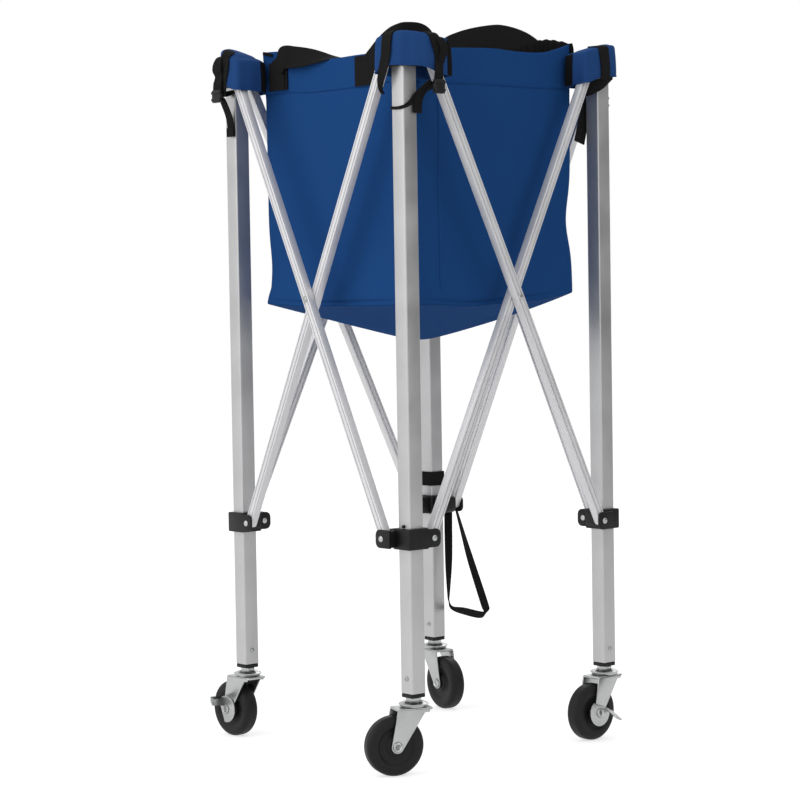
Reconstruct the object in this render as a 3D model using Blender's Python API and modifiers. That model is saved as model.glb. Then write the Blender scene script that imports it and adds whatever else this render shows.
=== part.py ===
"""Folding ball basket: a square cloth bag hung from four aluminium legs on casters.

The legs are joined by four scissor pairs of bars. Each bar hangs from a bracket on the top of one
leg and ends in a collar that slides on the next leg, so the frame folds to a slim bundle.

Metres, +Z up. The origin is on the floor under the middle of the basket. Sides are numbered
counterclockwise from above: 0 front to right, 1 right to back, 2 back to left, 3 left to front.
Side n starts at leg n. On a side, u runs from its first leg to its second and v points outwards.
"""
import math

import bmesh
import bpy
from mathutils import Matrix, Vector

# Clearances
GAP = 0.0003
SLIDING_GAP = 0.0004
PIN_GAP = 0.0003
HOOD_GAP = 0.0008

# Legs
LEG_SPACING = 0.340
LEG_SIDE = 0.022
LEG_WALL = 0.0015
LEG_CORNER = 0.0018
LEG_BOTTOM_Z = 0.1013
LEG_TOP_Z = 0.9080

# Scissor bars: hollow, round-ended, one layer outside the other
BAR_WIDTH = 0.012
BAR_DEPTH = 0.011
BAR_WALL = 0.001
INNER_LAYER = 0.0025
LAYER_GAP = 0.0006
PIVOT_OUT = 0.0245
TOP_PIVOT_BELOW = 0.0185
SLIDER_PIVOT_Z = 0.2935

# Sliders and top brackets
SLIDER_HALF = 0.0165
BRACKET_HALF = 0.0140
COLLAR_HALF_HEIGHT = 0.013
BRACKET_BELOW = 0.0145
BRACKET_ROOF = 0.004
ARM_HALF_HEIGHT = 0.0115
ARM_PAST_PIVOT = 0.0105
ARM_PLATE = 0.0027
CHEEK_DEPTH = 0.012
TAB_START = 0.0095
PLASTIC_EDGE = 0.0015

# Rivets
RIVET_RADIUS = 0.0020
RIVET_HEAD_RADIUS = 0.0040
RIVET_HEAD_HEIGHT = 0.0014

# Spring buttons that stop the front and back sliders
BUTTON_RADIUS = 0.0022
BUTTON_STAND = 0.0030
BUTTON_COLLAR_RADIUS = 0.0035
BUTTON_COLLAR = 0.0015
BUTTON_OVER_SLIDER = 0.0005

# Plug in the leg's foot, and the caster's stem and race
PLUG_FLANGE = 0.005
PLUG_DEPTH = 0.027
STEM_RADIUS = 0.00475
STEM_IN_PLUG = 0.024
PLUG_SCREW_UP = 0.0185
PLUG_SCREW_RADIUS = 0.0014
PLUG_SCREW_HEAD_RADIUS = 0.0031
PLUG_SCREW_HEAD = 0.0016
PLUG_SCREW_LENGTH = 0.0052
NUT_ACROSS = 0.0170
NUT_HEIGHT = 0.0040
RACE_RADIUS = 0.0188
RACE_HEIGHT = 0.0072
KINGPIN_RADIUS = 0.0040
KINGPIN_HEAD_RADIUS = 0.0065
KINGPIN_HEAD = 0.0022

# Forks, wheels and axles
WHEEL_RADIUS = 0.0375
WHEEL_WIDTH = 0.022
WHEEL_SIDES = 24
TREAD_CROWN = 0.0075
HUB_RADIUS = 0.012
TRAIL = 0.027
FORK_PLATE = 0.003
FORK_INNER_WIDTH = 0.0262
FORK_STEEL = 0.002
FORK_LEAD = 0.0205
FORK_HEEL = 0.0265
FORK_CHEEK_LEAD = 0.012
FORK_EYE_RADIUS = 0.0080
AXLE_RADIUS = 0.0039
AXLE_HEAD_RADIUS = 0.0066
AXLE_HEAD = 0.003
# Heading of each wheel behind its stem, from above, counterclockwise from +X
CASTER_HEADING = {"front": -111.0, "right": -89.0, "back": -9.0, "left": -178.0}

# Brake levers: a plate round the axle with one flat side, and a foot pad bent out from the flat
BRAKE_PLATE_RADIUS = 0.0180
BRAKE_FLAT = 0.0095
BRAKE_STEEL = 0.002
BRAKE_PAD_LEAD = 0.020
BRAKE_PAD_WIDTH = 0.013
BRAKE_PAD_LENGTH = 0.027
BRAKE_PAD_DROP = 24.0
# How far each lever is turned about its axle, from the wheel's rear upwards
BRAKE_TURN = {"right": 21.0, "left": -112.0}

# Bag
BAG_CLEAR = 0.013
BAG_WAIST = 0.008
BAG_CORNER = 0.010
BAG_WALL = 0.002
BAG_RIM_BELOW = 0.003
BAG_DEPTH = 0.320
BAG_SAG = 0.049
HOOD_CLOTH = 0.0015
HOOD_SKIRT = 0.0025
HOOD_PAST_ARM = 0.0045
WEB_HEIGHT = 0.026
WEB_THICK = 0.003

# Handles: a webbing loop sewn to each of two facing sides
HANDLE_WIDTH = 0.030
WEBBING = 0.002
PATCH_DROP = 0.036
PATCH_MIDDLE = -0.020
PATCH_SPREAD = 0.176
HANDLE_RISE = 0.044

# Corner straps: a band over each hood and a ring round the leg, with a buckle and a tail
STRAP_WIDTH = 0.018
STRAP_WEBBING = 0.0015
STRAP_RING_HEIGHT = 0.009
STRAP_RING_BELOW_HOOD = 0.016
BUCKLE_WIDTH = 0.024
BUCKLE_DEPTH = 0.009
BUCKLE_HEIGHT = 0.036
TAIL_LENGTH = 0.040
# Height of each buckle's top above its hood's lower edge
BUCKLE_TOP = {"front": -0.002, "right": 0.002, "back": 0.002, "left": 0.030}

# Carrying strap, a loop under the back slider
CARRY_WIDTH = 0.013
CARRY_DROP = 0.150
CARRY_SPREAD = 0.060

# Sizes that follow
LEG_HALF = LEG_SIDE / 2
FOOT = LEG_SPACING / 2
LEG_NAMES = ("front", "right", "back", "left")
SIDE_LEGS = (("front", "right"), ("right", "back"), ("back", "left"), ("left", "front"))
LEG_SIGNS = {"front": (1, -1), "right": (1, 1), "back": (-1, 1), "left": (-1, -1)}
TOP_PIVOT_Z = LEG_TOP_Z - TOP_PIVOT_BELOW
SPAN = LEG_SPACING - 2 * PIVOT_OUT
RISE = TOP_PIVOT_Z - SLIDER_PIVOT_Z
BAR_LENGTH = math.hypot(SPAN, RISE)
BAR_LEAN = math.atan2(SPAN, RISE)
CROSSING_Z = (TOP_PIVOT_Z + SLIDER_PIVOT_Z) / 2
BAG_HALF = FOOT - CHEEK_DEPTH - BAG_CLEAR
BAG_RIM_Z = LEG_TOP_Z - BAG_RIM_BELOW
BAG_SEAM_Z = BAG_RIM_Z - BAG_DEPTH
OUTER_LAYER = INNER_LAYER + BAR_DEPTH + LAYER_GAP
INNER_PLATE_FACE = INNER_LAYER + BAR_DEPTH + GAP + ARM_PLATE
OUTER_PLATE_FACE = OUTER_LAYER + BAR_DEPTH + GAP + ARM_PLATE
ARM_REACH = PIVOT_OUT + ARM_PAST_PIVOT
PLUG_BOTTOM_Z = LEG_BOTTOM_Z - GAP - PLUG_FLANGE
NUT_TOP_Z = PLUG_BOTTOM_Z - GAP
RACE_TOP_Z = NUT_TOP_Z - NUT_HEIGHT
FORK_TOP_Z = RACE_TOP_Z - RACE_HEIGHT - GAP
BRACKET_TOP_Z = LEG_TOP_Z + GAP + BRACKET_ROOF
HOOD_BOTTOM_Z = TOP_PIVOT_Z - BRACKET_BELOW - HOOD_SKIRT
SCREW_Z = LEG_BOTTOM_Z + PLUG_SCREW_UP
BUTTON_Z = SLIDER_PIVOT_Z + COLLAR_HALF_HEIGHT + BUTTON_OVER_SLIDER + BUTTON_RADIUS
RIVET_HOLE = RIVET_RADIUS + PIN_GAP


def remove_everything():
    for old in list(bpy.data.objects):
        bpy.data.objects.remove(old, do_unlink=True)


def new_collection(name):
    made = bpy.data.collections.new(name)
    bpy.context.scene.collection.children.link(made)
    return made


remove_everything()
PARTS = new_collection("ball_basket")
TOOLS = new_collection("cutters")


def material(name, colour, roughness, metallic=0.0):
    made = bpy.data.materials.new(name)
    made.use_nodes = True
    shader = made.node_tree.nodes["Principled BSDF"]
    shader.inputs["Base Color"].default_value = (*colour, 1.0)
    shader.inputs["Roughness"].default_value = roughness
    shader.inputs["Metallic"].default_value = metallic
    return made


FINISHES = {
    "aluminium": ((0.62, 0.63, 0.64), 0.38, 1.0),
    "black_plastic": ((0.022, 0.022, 0.024), 0.48, 0.0),
    "zinc_steel": ((0.60, 0.61, 0.60), 0.32, 1.0),
    "black_rubber": ((0.020, 0.020, 0.021), 0.62, 0.0),
    "blue_cloth": ((0.020, 0.062, 0.205), 0.80, 0.0),
    "black_webbing": ((0.018, 0.018, 0.019), 0.85, 0.0),
}


def tool(name, mesh):
    """A shape that only cuts or joins others: kept apart, drawn as wire, never rendered."""
    made = bpy.data.objects.new(name, mesh)
    made.hide_render = True
    made.display_type = "WIRE"
    TOOLS.objects.link(made)
    return made


def evaluated_mesh(source):
    """The mesh that an object's modifiers or curve settings give, and the object is removed."""
    graph = bpy.context.evaluated_depsgraph_get()
    mesh = bpy.data.meshes.new_from_object(source.evaluated_get(graph))
    mesh.transform(source.matrix_world)
    bpy.data.objects.remove(source, do_unlink=True)
    return mesh


def block(low, high, edge=0.0, upright_only=False):
    """A box between two corners, with its edges rounded by a Bevel."""
    low, high = Vector(low), Vector(high)
    edit = bmesh.new()
    bmesh.ops.create_cube(edit, size=1.0)
    bmesh.ops.scale(edit, vec=high - low, verts=edit.verts)
    bmesh.ops.translate(edit, vec=(low + high) / 2, verts=edit.verts)
    mesh = bpy.data.meshes.new("block")
    edit.to_mesh(mesh)
    edit.free()
    made = tool("block", mesh)
    if edge > 0:
        round_edges = made.modifiers.new("round", "BEVEL")
        round_edges.width = edge
        round_edges.segments = 1
        if upright_only:
            weights = mesh.attributes.new("bevel_weight_edge", "FLOAT", "EDGE")
            for line in mesh.edges:
                ends = [mesh.vertices[i].co for i in line.vertices]
                upright = abs(ends[0].z - ends[1].z) > abs(high.z - low.z) / 2
                weights.data[line.index].value = 1.0 if upright else 0.0
            round_edges.limit_method = "WEIGHT"
        else:
            round_edges.limit_method = "NONE"
    return made


def rod(radius, low, high, along="Z", sides=16):
    """A straight cylinder with its axis through the origin, from low to high along one axis."""
    edit = bmesh.new()
    bmesh.ops.create_cone(edit, cap_ends=True, segments=sides, radius1=radius, radius2=radius,
                          depth=high - low)
    bmesh.ops.translate(edit, vec=(0, 0, (low + high) / 2), verts=edit.verts)
    turn = {"X": Matrix.Rotation(math.pi / 2, 3, "Y"), "Y": Matrix.Rotation(-math.pi / 2, 3, "X"),
            "Z": Matrix.Identity(3)}[along]
    bmesh.ops.transform(edit, matrix=turn.to_4x4(), verts=edit.verts)
    mesh = bpy.data.meshes.new("rod")
    edit.to_mesh(mesh)
    edit.free()
    return tool("rod", mesh)


def moved(shape, offset):
    shape.data.transform(Matrix.Translation(offset))
    return shape


def turned(profile, steps, ring=False):
    """A shape turned about Z from (radius, height) points that run down its outer side.

    A ring's profile closes on itself and never reaches the axis.
    """
    lines = [(i, i + 1) for i in range(len(profile) - 1)]
    if ring:
        lines.append((len(profile) - 1, 0))
    mesh = bpy.data.meshes.new("turned")
    mesh.from_pydata([(radius, 0.0, height) for radius, height in profile], lines, [])
    made = tool("turned", mesh)
    screw = made.modifiers.new("screw", "SCREW")
    screw.steps = steps
    screw.render_steps = steps
    screw.use_merge_vertices = True
    screw.merge_threshold = 0.00001
    return made


def plate(outline, thickness):
    """A flat plate in the XZ plane from its outline, thick along Y and centred on it."""
    edit = bmesh.new()
    near, far = [[edit.verts.new((x, side * thickness / 2, z)) for x, z in outline] for side in (-1, 1)]
    edit.faces.new(near)
    edit.faces.new(reversed(far))
    for i in range(len(outline)):
        j = (i + 1) % len(outline)
        edit.faces.new((near[i], far[i], far[j], near[j]))
    bmesh.ops.recalc_face_normals(edit, faces=edit.faces)
    mesh = bpy.data.meshes.new("plate")
    edit.to_mesh(mesh)
    edit.free()
    return tool("plate", mesh)


def arc(centre, radius, start, end, steps):
    """Points on a circle from one angle to another, in degrees."""
    angles = [math.radians(start + (end - start) * i / steps) for i in range(steps + 1)]
    return [(centre[0] + radius * math.cos(a), centre[1] + radius * math.sin(a)) for a in angles]


def merged(shapes, cuts=()):
    """One mesh from shapes that are united, less the shapes that are cut away."""
    base = shapes[0]
    for operation, others in (("UNION", shapes[1:]), ("DIFFERENCE", cuts)):
        for other in others:
            step = base.modifiers.new(operation.lower(), "BOOLEAN")
            step.operation = operation
            step.solver = "EXACT"
            step.object = other
    bpy.context.view_layer.update()
    mesh = evaluated_mesh(base)
    for used in (*shapes[1:], *cuts):
        bpy.data.objects.remove(used, do_unlink=True)
    return mesh


def transformed(mesh, matrix):
    copy = mesh.copy()
    copy.transform(matrix)
    return copy


BODY_EMPTIES = {}


def body(name, joint_point):
    """An empty on the joint's axis, which carries everything that moves with the body."""
    empty = bpy.data.objects.new(name + "_body", None)
    empty.empty_display_size = 0.02
    empty.location = joint_point
    PARTS.objects.link(empty)
    BODY_EMPTIES[name] = empty
    return empty


def part(name, mesh, finish, body_name, location=(0, 0, 0), rotation=(0, 0, 0)):
    """A named piece on its body, placed by its own world location and rotation."""
    if finish not in bpy.data.materials:
        material(finish, *FINISHES[finish])
    mesh.name = name if mesh.users == 0 else mesh.name
    if not mesh.materials:
        mesh.materials.append(bpy.data.materials[finish])
    made = bpy.data.objects.new(name, mesh)
    PARTS.objects.link(made)
    carrier = BODY_EMPTIES[body_name]
    made.parent = carrier
    made.location = Vector(location) - Vector(carrier.location)
    made.rotation_euler = rotation
    mesh.shade_smooth()
    mesh.set_sharp_from_angle(angle=math.radians(32))
    return made


def quarter(index):
    return index * math.pi / 2


def leg_place(index, z=0.0):
    sign = LEG_SIGNS[LEG_NAMES[index]]
    return Vector((sign[0] * FOOT, sign[1] * FOOT, z))


def side_place(index, u, v, z):
    """The world point at u along a side, v outside its legs' axes, at height z."""
    return Matrix.Rotation(quarter(index), 3, "Z") @ Vector((FOOT + v, u - FOOT, z))


def leg_mesh(with_button, screw_side):
    """A square tube, with a hole for its foot screw and on some legs one for the stop button."""
    outside = block((-LEG_HALF, -LEG_HALF, LEG_BOTTOM_Z), (LEG_HALF, LEG_HALF, LEG_TOP_Z),
                    LEG_CORNER, upright_only=True)
    inner = LEG_HALF - LEG_WALL
    cuts = [block((-inner, -inner, LEG_BOTTOM_Z - 0.01), (inner, inner, LEG_TOP_Z + 0.01))]
    screw_hole = rod(PLUG_SCREW_RADIUS + PIN_GAP, 0, LEG_SIDE, "Y", 12)
    if screw_side < 0:
        screw_hole.data.transform(Matrix.Rotation(math.pi, 4, "Z"))
    cuts.append(moved(screw_hole, (0, 0, SCREW_Z)))
    if with_button:
        cuts.append(moved(rod(BUTTON_RADIUS + PIN_GAP, -LEG_SIDE, 0, "Y", 16), (0, 0, BUTTON_Z)))
    return merged([outside], cuts)


def bar_mesh(below, above):
    """A bar along Z, hollow between its solid ends, whose pivots lie from below to above the origin."""
    half = BAR_WIDTH / 2
    outline = (arc((0, above), half, 0, 180, 8) + arc((0, below), half, 180, 360, 8))
    outside = plate(outline, BAR_DEPTH)
    inner_half = half - BAR_WALL
    cavity = block((-inner_half, BAR_WALL - BAR_DEPTH / 2, below + BAR_WIDTH),
                   (inner_half, BAR_DEPTH / 2 - BAR_WALL, above - BAR_WIDTH))
    middle = (below + above) / 2
    holes = [moved(rod(RIVET_HOLE / math.cos(math.pi / 10), -BAR_DEPTH, BAR_DEPTH, "Y", 10), (0, 0, z))
             for z in (below, middle, above)]
    mesh = merged([outside], [cavity, *holes])
    mesh.transform(Matrix.Rotation(-math.pi / 2, 4, "Z"))
    return mesh


def side_block(to_next, u_range, v_range, z_range, edge=0.0):
    """A box given along one of a leg's two sides: u away from the leg, v outwards."""
    (u0, u1), (v0, v1), (z0, z1) = u_range, v_range, z_range
    if to_next:
        return block((v0, u0, z0), (v1, u1, z1), edge)
    return block((-u1, -v1, z0), (-u0, -v0, z1), edge)


def arm(to_next, outer, half):
    """The fork that holds a bar's end, and the pin across its slot."""
    layer = OUTER_LAYER if outer else INNER_LAYER
    face = layer + BAR_DEPTH + GAP + ARM_PLATE
    tall = ARM_HALF_HEIGHT if to_next else ARM_HALF_HEIGHT - GAP
    whole = side_block(to_next, (TAB_START, ARM_REACH), (-CHEEK_DEPTH, face), (-tall, tall), PLASTIC_EDGE)
    slot = side_block(to_next, (half, ARM_REACH + ARM_PLATE), (layer - GAP, face - ARM_PLATE),
                      (-tall * 2, tall * 2))
    sunk = RIVET_HEAD_HEIGHT / 5
    if to_next:
        pin = moved(tool("pin", rivet_mesh(sunk - CHEEK_DEPTH, face - sunk, "X")), (0, PIVOT_OUT, 0))
    else:
        pin = moved(tool("pin", rivet_mesh(sunk - face, CHEEK_DEPTH - sunk, "Y")), (-PIVOT_OUT, 0, 0))
    return [tool("arm", merged([whole], [slot])), pin]


def slider_mesh():
    """A collar on the leg. Its arm towards the next leg takes the inner bar, the other the outer."""
    shell = block((-SLIDER_HALF, -SLIDER_HALF, -COLLAR_HALF_HEIGHT),
                  (SLIDER_HALF, SLIDER_HALF, COLLAR_HALF_HEIGHT), PLASTIC_EDGE)
    room = LEG_HALF + SLIDING_GAP
    bore = block((-room, -room, -0.05), (room, room, 0.05))
    arms = arm(True, False, SLIDER_HALF) + arm(False, True, SLIDER_HALF)
    return merged([shell, *arms], [bore])


def bracket_mesh():
    """A cap on the leg's top. Its arm towards the next leg takes the outer bar, the other the inner."""
    roof = BRACKET_TOP_Z - TOP_PIVOT_Z
    shell = block((-BRACKET_HALF, -BRACKET_HALF, -BRACKET_BELOW), (BRACKET_HALF, BRACKET_HALF, roof),
                  PLASTIC_EDGE)
    room = LEG_HALF + GAP
    bore = block((-room, -room, -0.05), (room, room, LEG_TOP_Z + GAP - TOP_PIVOT_Z))
    arms = arm(True, True, BRACKET_HALF) + arm(False, False, BRACKET_HALF)
    return merged([shell, *arms], [bore])


def rivet_mesh(low, high, along="Z"):
    """A rivet whose shank runs from low to high, with a domed head past each end."""
    tall = RIVET_HEAD_HEIGHT
    dome = [(0, tall), (RIVET_HEAD_RADIUS * 0.7, tall * 0.75), (RIVET_HEAD_RADIUS, 0)]
    top = [(radius, high + height) for radius, height in dome]
    bottom = [(radius, low - height) for radius, height in reversed(dome)]
    profile = top + [(RIVET_RADIUS, high), (RIVET_RADIUS, low)] + bottom
    mesh = evaluated_mesh(turned(profile, 8))
    turn = {"X": Matrix.Rotation(math.pi / 2, 4, "Y"), "Y": Matrix.Rotation(-math.pi / 2, 4, "X"),
            "Z": Matrix.Identity(4)}[along]
    mesh.transform(turn)
    return mesh


def plug_mesh(screw_side):
    """The leg's foot plug: a flange under the tube and a core inside it, bored for the stem."""
    flange = block((-LEG_HALF, -LEG_HALF, PLUG_BOTTOM_Z),
                   (LEG_HALF, LEG_HALF, PLUG_BOTTOM_Z + PLUG_FLANGE), PLASTIC_EDGE, upright_only=True)
    core = LEG_HALF - LEG_WALL - GAP
    inside = block((-core, -core, PLUG_BOTTOM_Z + PLUG_FLANGE / 2), (core, core, LEG_BOTTOM_Z + PLUG_DEPTH))
    bore = rod(STEM_RADIUS + GAP, 0, LEG_BOTTOM_Z + PLUG_DEPTH + 0.01)
    pilot = rod(PLUG_SCREW_RADIUS + PIN_GAP, -LEG_SIDE, 0, "Y", 12)
    moved(pilot, (0, 0, SCREW_Z))
    if screw_side > 0:
        pilot.data.transform(Matrix.Rotation(math.pi, 4, "Z"))
    return merged([flange, inside], [bore, pilot])


def screw_mesh(screw_side):
    """The domed screw that holds the plug, through the leg's wall into the plug's core."""
    under = LEG_HALF + GAP
    profile = [(0, under + PLUG_SCREW_HEAD), (PLUG_SCREW_HEAD_RADIUS * 0.6, under + PLUG_SCREW_HEAD * 0.85),
               (PLUG_SCREW_HEAD_RADIUS, under + PLUG_SCREW_HEAD * 0.2), (PLUG_SCREW_HEAD_RADIUS, under),
               (PLUG_SCREW_RADIUS, under), (PLUG_SCREW_RADIUS, under - PLUG_SCREW_LENGTH),
               (0, under - PLUG_SCREW_LENGTH)]
    mesh = evaluated_mesh(turned(profile, 10))
    mesh.transform(Matrix.Rotation(-screw_side * math.pi / 2, 4, "X"))
    return mesh


def stem_mesh():
    """Threaded stem, its nut, the upper race and the riveted kingpin under it."""
    race_bottom = FORK_TOP_Z + GAP
    under_plate = FORK_TOP_Z - FORK_PLATE - GAP
    profile = [
        (0, NUT_TOP_Z + STEM_IN_PLUG), (STEM_RADIUS, NUT_TOP_Z + STEM_IN_PLUG), (STEM_RADIUS, NUT_TOP_Z),
        (NUT_ACROSS * 0.42, NUT_TOP_Z - 0.0002), (NUT_ACROSS * 0.42, RACE_TOP_Z),
        (RACE_RADIUS * 0.80, RACE_TOP_Z), (RACE_RADIUS, RACE_TOP_Z - RACE_HEIGHT * 0.35),
        (RACE_RADIUS, race_bottom + RACE_HEIGHT * 0.20), (RACE_RADIUS * 0.93, race_bottom),
        (KINGPIN_RADIUS, race_bottom), (KINGPIN_RADIUS, under_plate), (KINGPIN_HEAD_RADIUS, under_plate),
        (KINGPIN_HEAD_RADIUS * 0.7, under_plate - KINGPIN_HEAD), (0, under_plate - KINGPIN_HEAD)]
    nut = rod(NUT_ACROSS / math.sqrt(3), RACE_TOP_Z - 0.0005, NUT_TOP_Z - 0.0004, "Z", 6)
    return merged([turned(profile, 14), nut])


def fork_mesh():
    """The pressed fork, with its wheel towards +X and its stem on the Z axis."""
    half = FORK_INNER_WIDTH / 2 + FORK_STEEL
    roof = block((-FORK_LEAD, -half, FORK_TOP_Z - FORK_PLATE), (FORK_HEEL, half, FORK_TOP_Z),
                 FORK_STEEL * 2, upright_only=True)
    eye = (TRAIL, WHEEL_RADIUS)
    top = FORK_TOP_Z - FORK_PLATE / 2
    skirt = FORK_TOP_Z - FORK_PLATE * 1.8
    outline = ([(-FORK_LEAD + FORK_STEEL * 2, top), (-FORK_LEAD + FORK_STEEL * 2, skirt),
                (-FORK_CHEEK_LEAD, skirt)]
               + arc(eye, FORK_EYE_RADIUS, 222, 360, 8) + [(FORK_HEEL - FORK_STEEL * 2, top)])
    cheeks = [moved(plate(outline, FORK_STEEL), (0, side * (half - FORK_STEEL / 2), 0)) for side in (-1, 1)]
    pin_hole = rod(KINGPIN_RADIUS + GAP, FORK_TOP_Z - 0.02, FORK_TOP_Z + 0.02)
    eye_hole = moved(rod(AXLE_RADIUS + PIN_GAP, -0.03, 0.03, "Y"), (TRAIL, 0, WHEEL_RADIUS))
    return merged([roof, *cheeks], [pin_hole, eye_hole])


def wheel_mesh():
    """A moulded wheel turned about Y: rounded tread, dished sides and a raised hub, bored.

    Its sides are flats of a polygon round the wheel's circle, and one of them faces down.
    """
    half = WHEEL_WIDTH / 2
    tread = WHEEL_RADIUS / math.cos(math.pi / WHEEL_SIDES)
    centre = (tread - TREAD_CROWN, half - TREAD_CROWN)
    bore = AXLE_RADIUS + PIN_GAP
    upper = [(bore, half), (HUB_RADIUS, half), (centre[0] - 0.002, half - 0.002)]
    upper += list(reversed(arc(centre, TREAD_CROWN, 0, 75, 2)))
    profile = upper + [(radius, -height) for radius, height in reversed(upper)]
    mesh = evaluated_mesh(turned(profile, WHEEL_SIDES, ring=True))
    mesh.transform(Matrix.Rotation(math.pi / WHEEL_SIDES, 4, "Z"))
    mesh.transform(Matrix.Rotation(-math.pi / 2, 4, "X"))
    return mesh


def axle_mesh(near_stack):
    """The axle bolt along Y through the fork's eyes, past whatever sits on its near side."""
    half = FORK_INNER_WIDTH / 2 + FORK_STEEL + GAP
    near = half + near_stack
    profile = [(0, near + AXLE_HEAD), (AXLE_HEAD_RADIUS * 0.7, near + AXLE_HEAD),
               (AXLE_HEAD_RADIUS, near + AXLE_HEAD * 0.5),
               (AXLE_HEAD_RADIUS, near), (AXLE_RADIUS, near), (AXLE_RADIUS, -half),
               (AXLE_HEAD_RADIUS, -half), (AXLE_HEAD_RADIUS * 0.85, -half - AXLE_HEAD),
               (0, -half - AXLE_HEAD)]
    mesh = evaluated_mesh(turned(profile, 12))
    mesh.transform(Matrix.Rotation(-math.pi / 2, 4, "X"))
    return mesh


def brake_mesh():
    """The lever with its flat side up and its pad at the leading end, centred on its axle."""
    start = math.degrees(math.asin(BRAKE_FLAT / BRAKE_PLATE_RADIUS))
    disc = plate(arc((0, 0), BRAKE_PLATE_RADIUS, 180 - start, 360 + start, 18), BRAKE_STEEL)
    pad = block((-BRAKE_PAD_LEAD, -BRAKE_STEEL * 0.3, -BRAKE_STEEL * 1.1),
                (BRAKE_PAD_WIDTH - BRAKE_PAD_LEAD, BRAKE_PAD_LENGTH, -BRAKE_STEEL * 0.1), BRAKE_STEEL / 4)
    pad.data.transform(Matrix.Rotation(math.radians(-BRAKE_PAD_DROP), 4, "X"))
    moved(pad, (0, 0, BRAKE_FLAT))
    return merged([disc, pad], [rod(AXLE_RADIUS + PIN_GAP, -0.03, 0.03, "Y")])


def button_mesh():
    """A spring button in the leg's wall: a domed pin outside and a collar inside."""
    wall_in = LEG_HALF - LEG_WALL - GAP
    out = LEG_HALF + BUTTON_STAND
    profile = [(0, out), (BUTTON_RADIUS * 0.7, out - BUTTON_RADIUS * 0.25),
               (BUTTON_RADIUS, out - BUTTON_RADIUS * 0.8),
               (BUTTON_RADIUS, wall_in), (BUTTON_COLLAR_RADIUS, wall_in),
               (BUTTON_COLLAR_RADIUS, wall_in - BUTTON_COLLAR), (0, wall_in - BUTTON_COLLAR)]
    mesh = evaluated_mesh(turned(profile, 12))
    mesh.transform(Matrix.Rotation(math.pi / 2, 4, "X"))
    return mesh


def rounded_square(half, corner, z):
    """A ring of points round a square with rounded corners."""
    ring = []
    centre = half - corner
    for n, (sx, sy) in enumerate(((1, -1), (1, 1), (-1, 1), (-1, -1))):
        ring += [(x, y, z) for x, y in arc((sx * centre, sy * centre), corner, 90 * n - 90, 90 * n, 3)]
        ahead = ((0, 1), (-1, 0), (0, -1), (1, 0))[n]
        across = ring[-1]
        ring += [(across[0] + ahead[0] * 2 * centre * t, across[1] + ahead[1] * 2 * centre * t, z)
                 for t in (0.25, 0.5, 0.75)]
    return ring


def loft(rings, peak):
    """A skin over rings with equal point counts, closed at its far end on one point."""
    edit = bmesh.new()
    rows = [[edit.verts.new(point) for point in ring] for ring in rings]
    count = len(rows[0])
    for upper, lower in zip(rows, rows[1:]):
        for i in range(count):
            j = (i + 1) % count
            edit.faces.new((upper[i], lower[i], lower[j], upper[j]))
    last = edit.verts.new(peak)
    for i in range(count):
        edit.faces.new((rows[-1][i], last, rows[-1][(i + 1) % count]))
    bmesh.ops.recalc_face_normals(edit, faces=edit.faces)
    mesh = bpy.data.meshes.new("loft")
    edit.to_mesh(mesh)
    edit.free()
    return mesh


def bag_shell():
    """The cloth box: straight rim, drawn-in waist, bottom seam and a sagging floor."""
    waist_z = (BAG_RIM_Z + BAG_SEAM_Z) / 2
    rings = [rounded_square(BAG_HALF, BAG_CORNER, BAG_RIM_Z),
             rounded_square(BAG_HALF - BAG_WAIST, BAG_CORNER, waist_z),
             rounded_square(BAG_HALF, BAG_CORNER, BAG_SEAM_Z)]
    for share, depth in ((0.80, 0.50), (0.48, 0.86)):
        rings.append(rounded_square(BAG_HALF * share, BAG_CORNER, BAG_SEAM_Z - BAG_SAG * depth))
    shell = tool("bag", loft(rings, (0, 0, BAG_SEAM_Z - BAG_SAG)))
    skin = shell.modifiers.new("cloth", "SOLIDIFY")
    skin.thickness = BAG_WALL
    skin.offset = -1.0
    return shell


def bag_mesh():
    return evaluated_mesh(bag_shell())


def ribbon(points, across, width, thickness):
    """Flat webbing along a path. across gives the direction of its width, at each point or all."""
    path = [Vector(p) for p in points]
    if not isinstance(across, list):
        across = [across] * len(path)
    edit = bmesh.new()
    rows = []
    for i, point in enumerate(path):
        ahead = (path[min(i + 1, len(path) - 1)] - path[max(i - 1, 0)]).normalized()
        wide = Vector(across[i])
        wide = (wide - ahead * wide.dot(ahead)).normalized() * width / 2
        thick = ahead.cross(wide).normalized() * thickness / 2
        rows.append([edit.verts.new(point + a * wide + b * thick)
                     for a, b in ((-1, -1), (1, -1), (1, 1), (-1, 1))])
    for near, far in zip(rows, rows[1:]):
        for i in range(4):
            j = (i + 1) % 4
            edit.faces.new((near[i], near[j], far[j], far[i]))
    edit.faces.new(list(reversed(rows[0])))
    edit.faces.new(rows[-1])
    bmesh.ops.recalc_face_normals(edit, faces=edit.faces)
    mesh = bpy.data.meshes.new("ribbon")
    edit.to_mesh(mesh)
    edit.free()
    return mesh


def handle_patches(face, rim):
    """Where a handle's two ends are sewn: their x, with the low and high ends of each patch."""
    xs = [PATCH_MIDDLE + side * PATCH_SPREAD / 2 for side in (-1, 1)]
    return [[(x, face, rim - PATCH_DROP), (x, face, rim - PATCH_DROP * 0.2)] for x in xs]


def standing_handle():
    """The back handle, which stands up as a flat arch between its patches."""
    face = BAG_HALF + WEBBING / 2 + GAP
    first, second = handle_patches(face, BAG_RIM_Z)
    path, level = list(first), [(1, 0, 0)] * 2
    for x, z in arc((0, 0), 1, 160, 20, 8):
        path.append((PATCH_MIDDLE + x * PATCH_SPREAD / 2, face, BAG_RIM_Z + HANDLE_RISE * z))
        level.append((z, 0, -x))
    return ribbon(path + [second[1], second[0]], level + [(1, 0, 0)] * 2, HANDLE_WIDTH, WEBBING)


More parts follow.
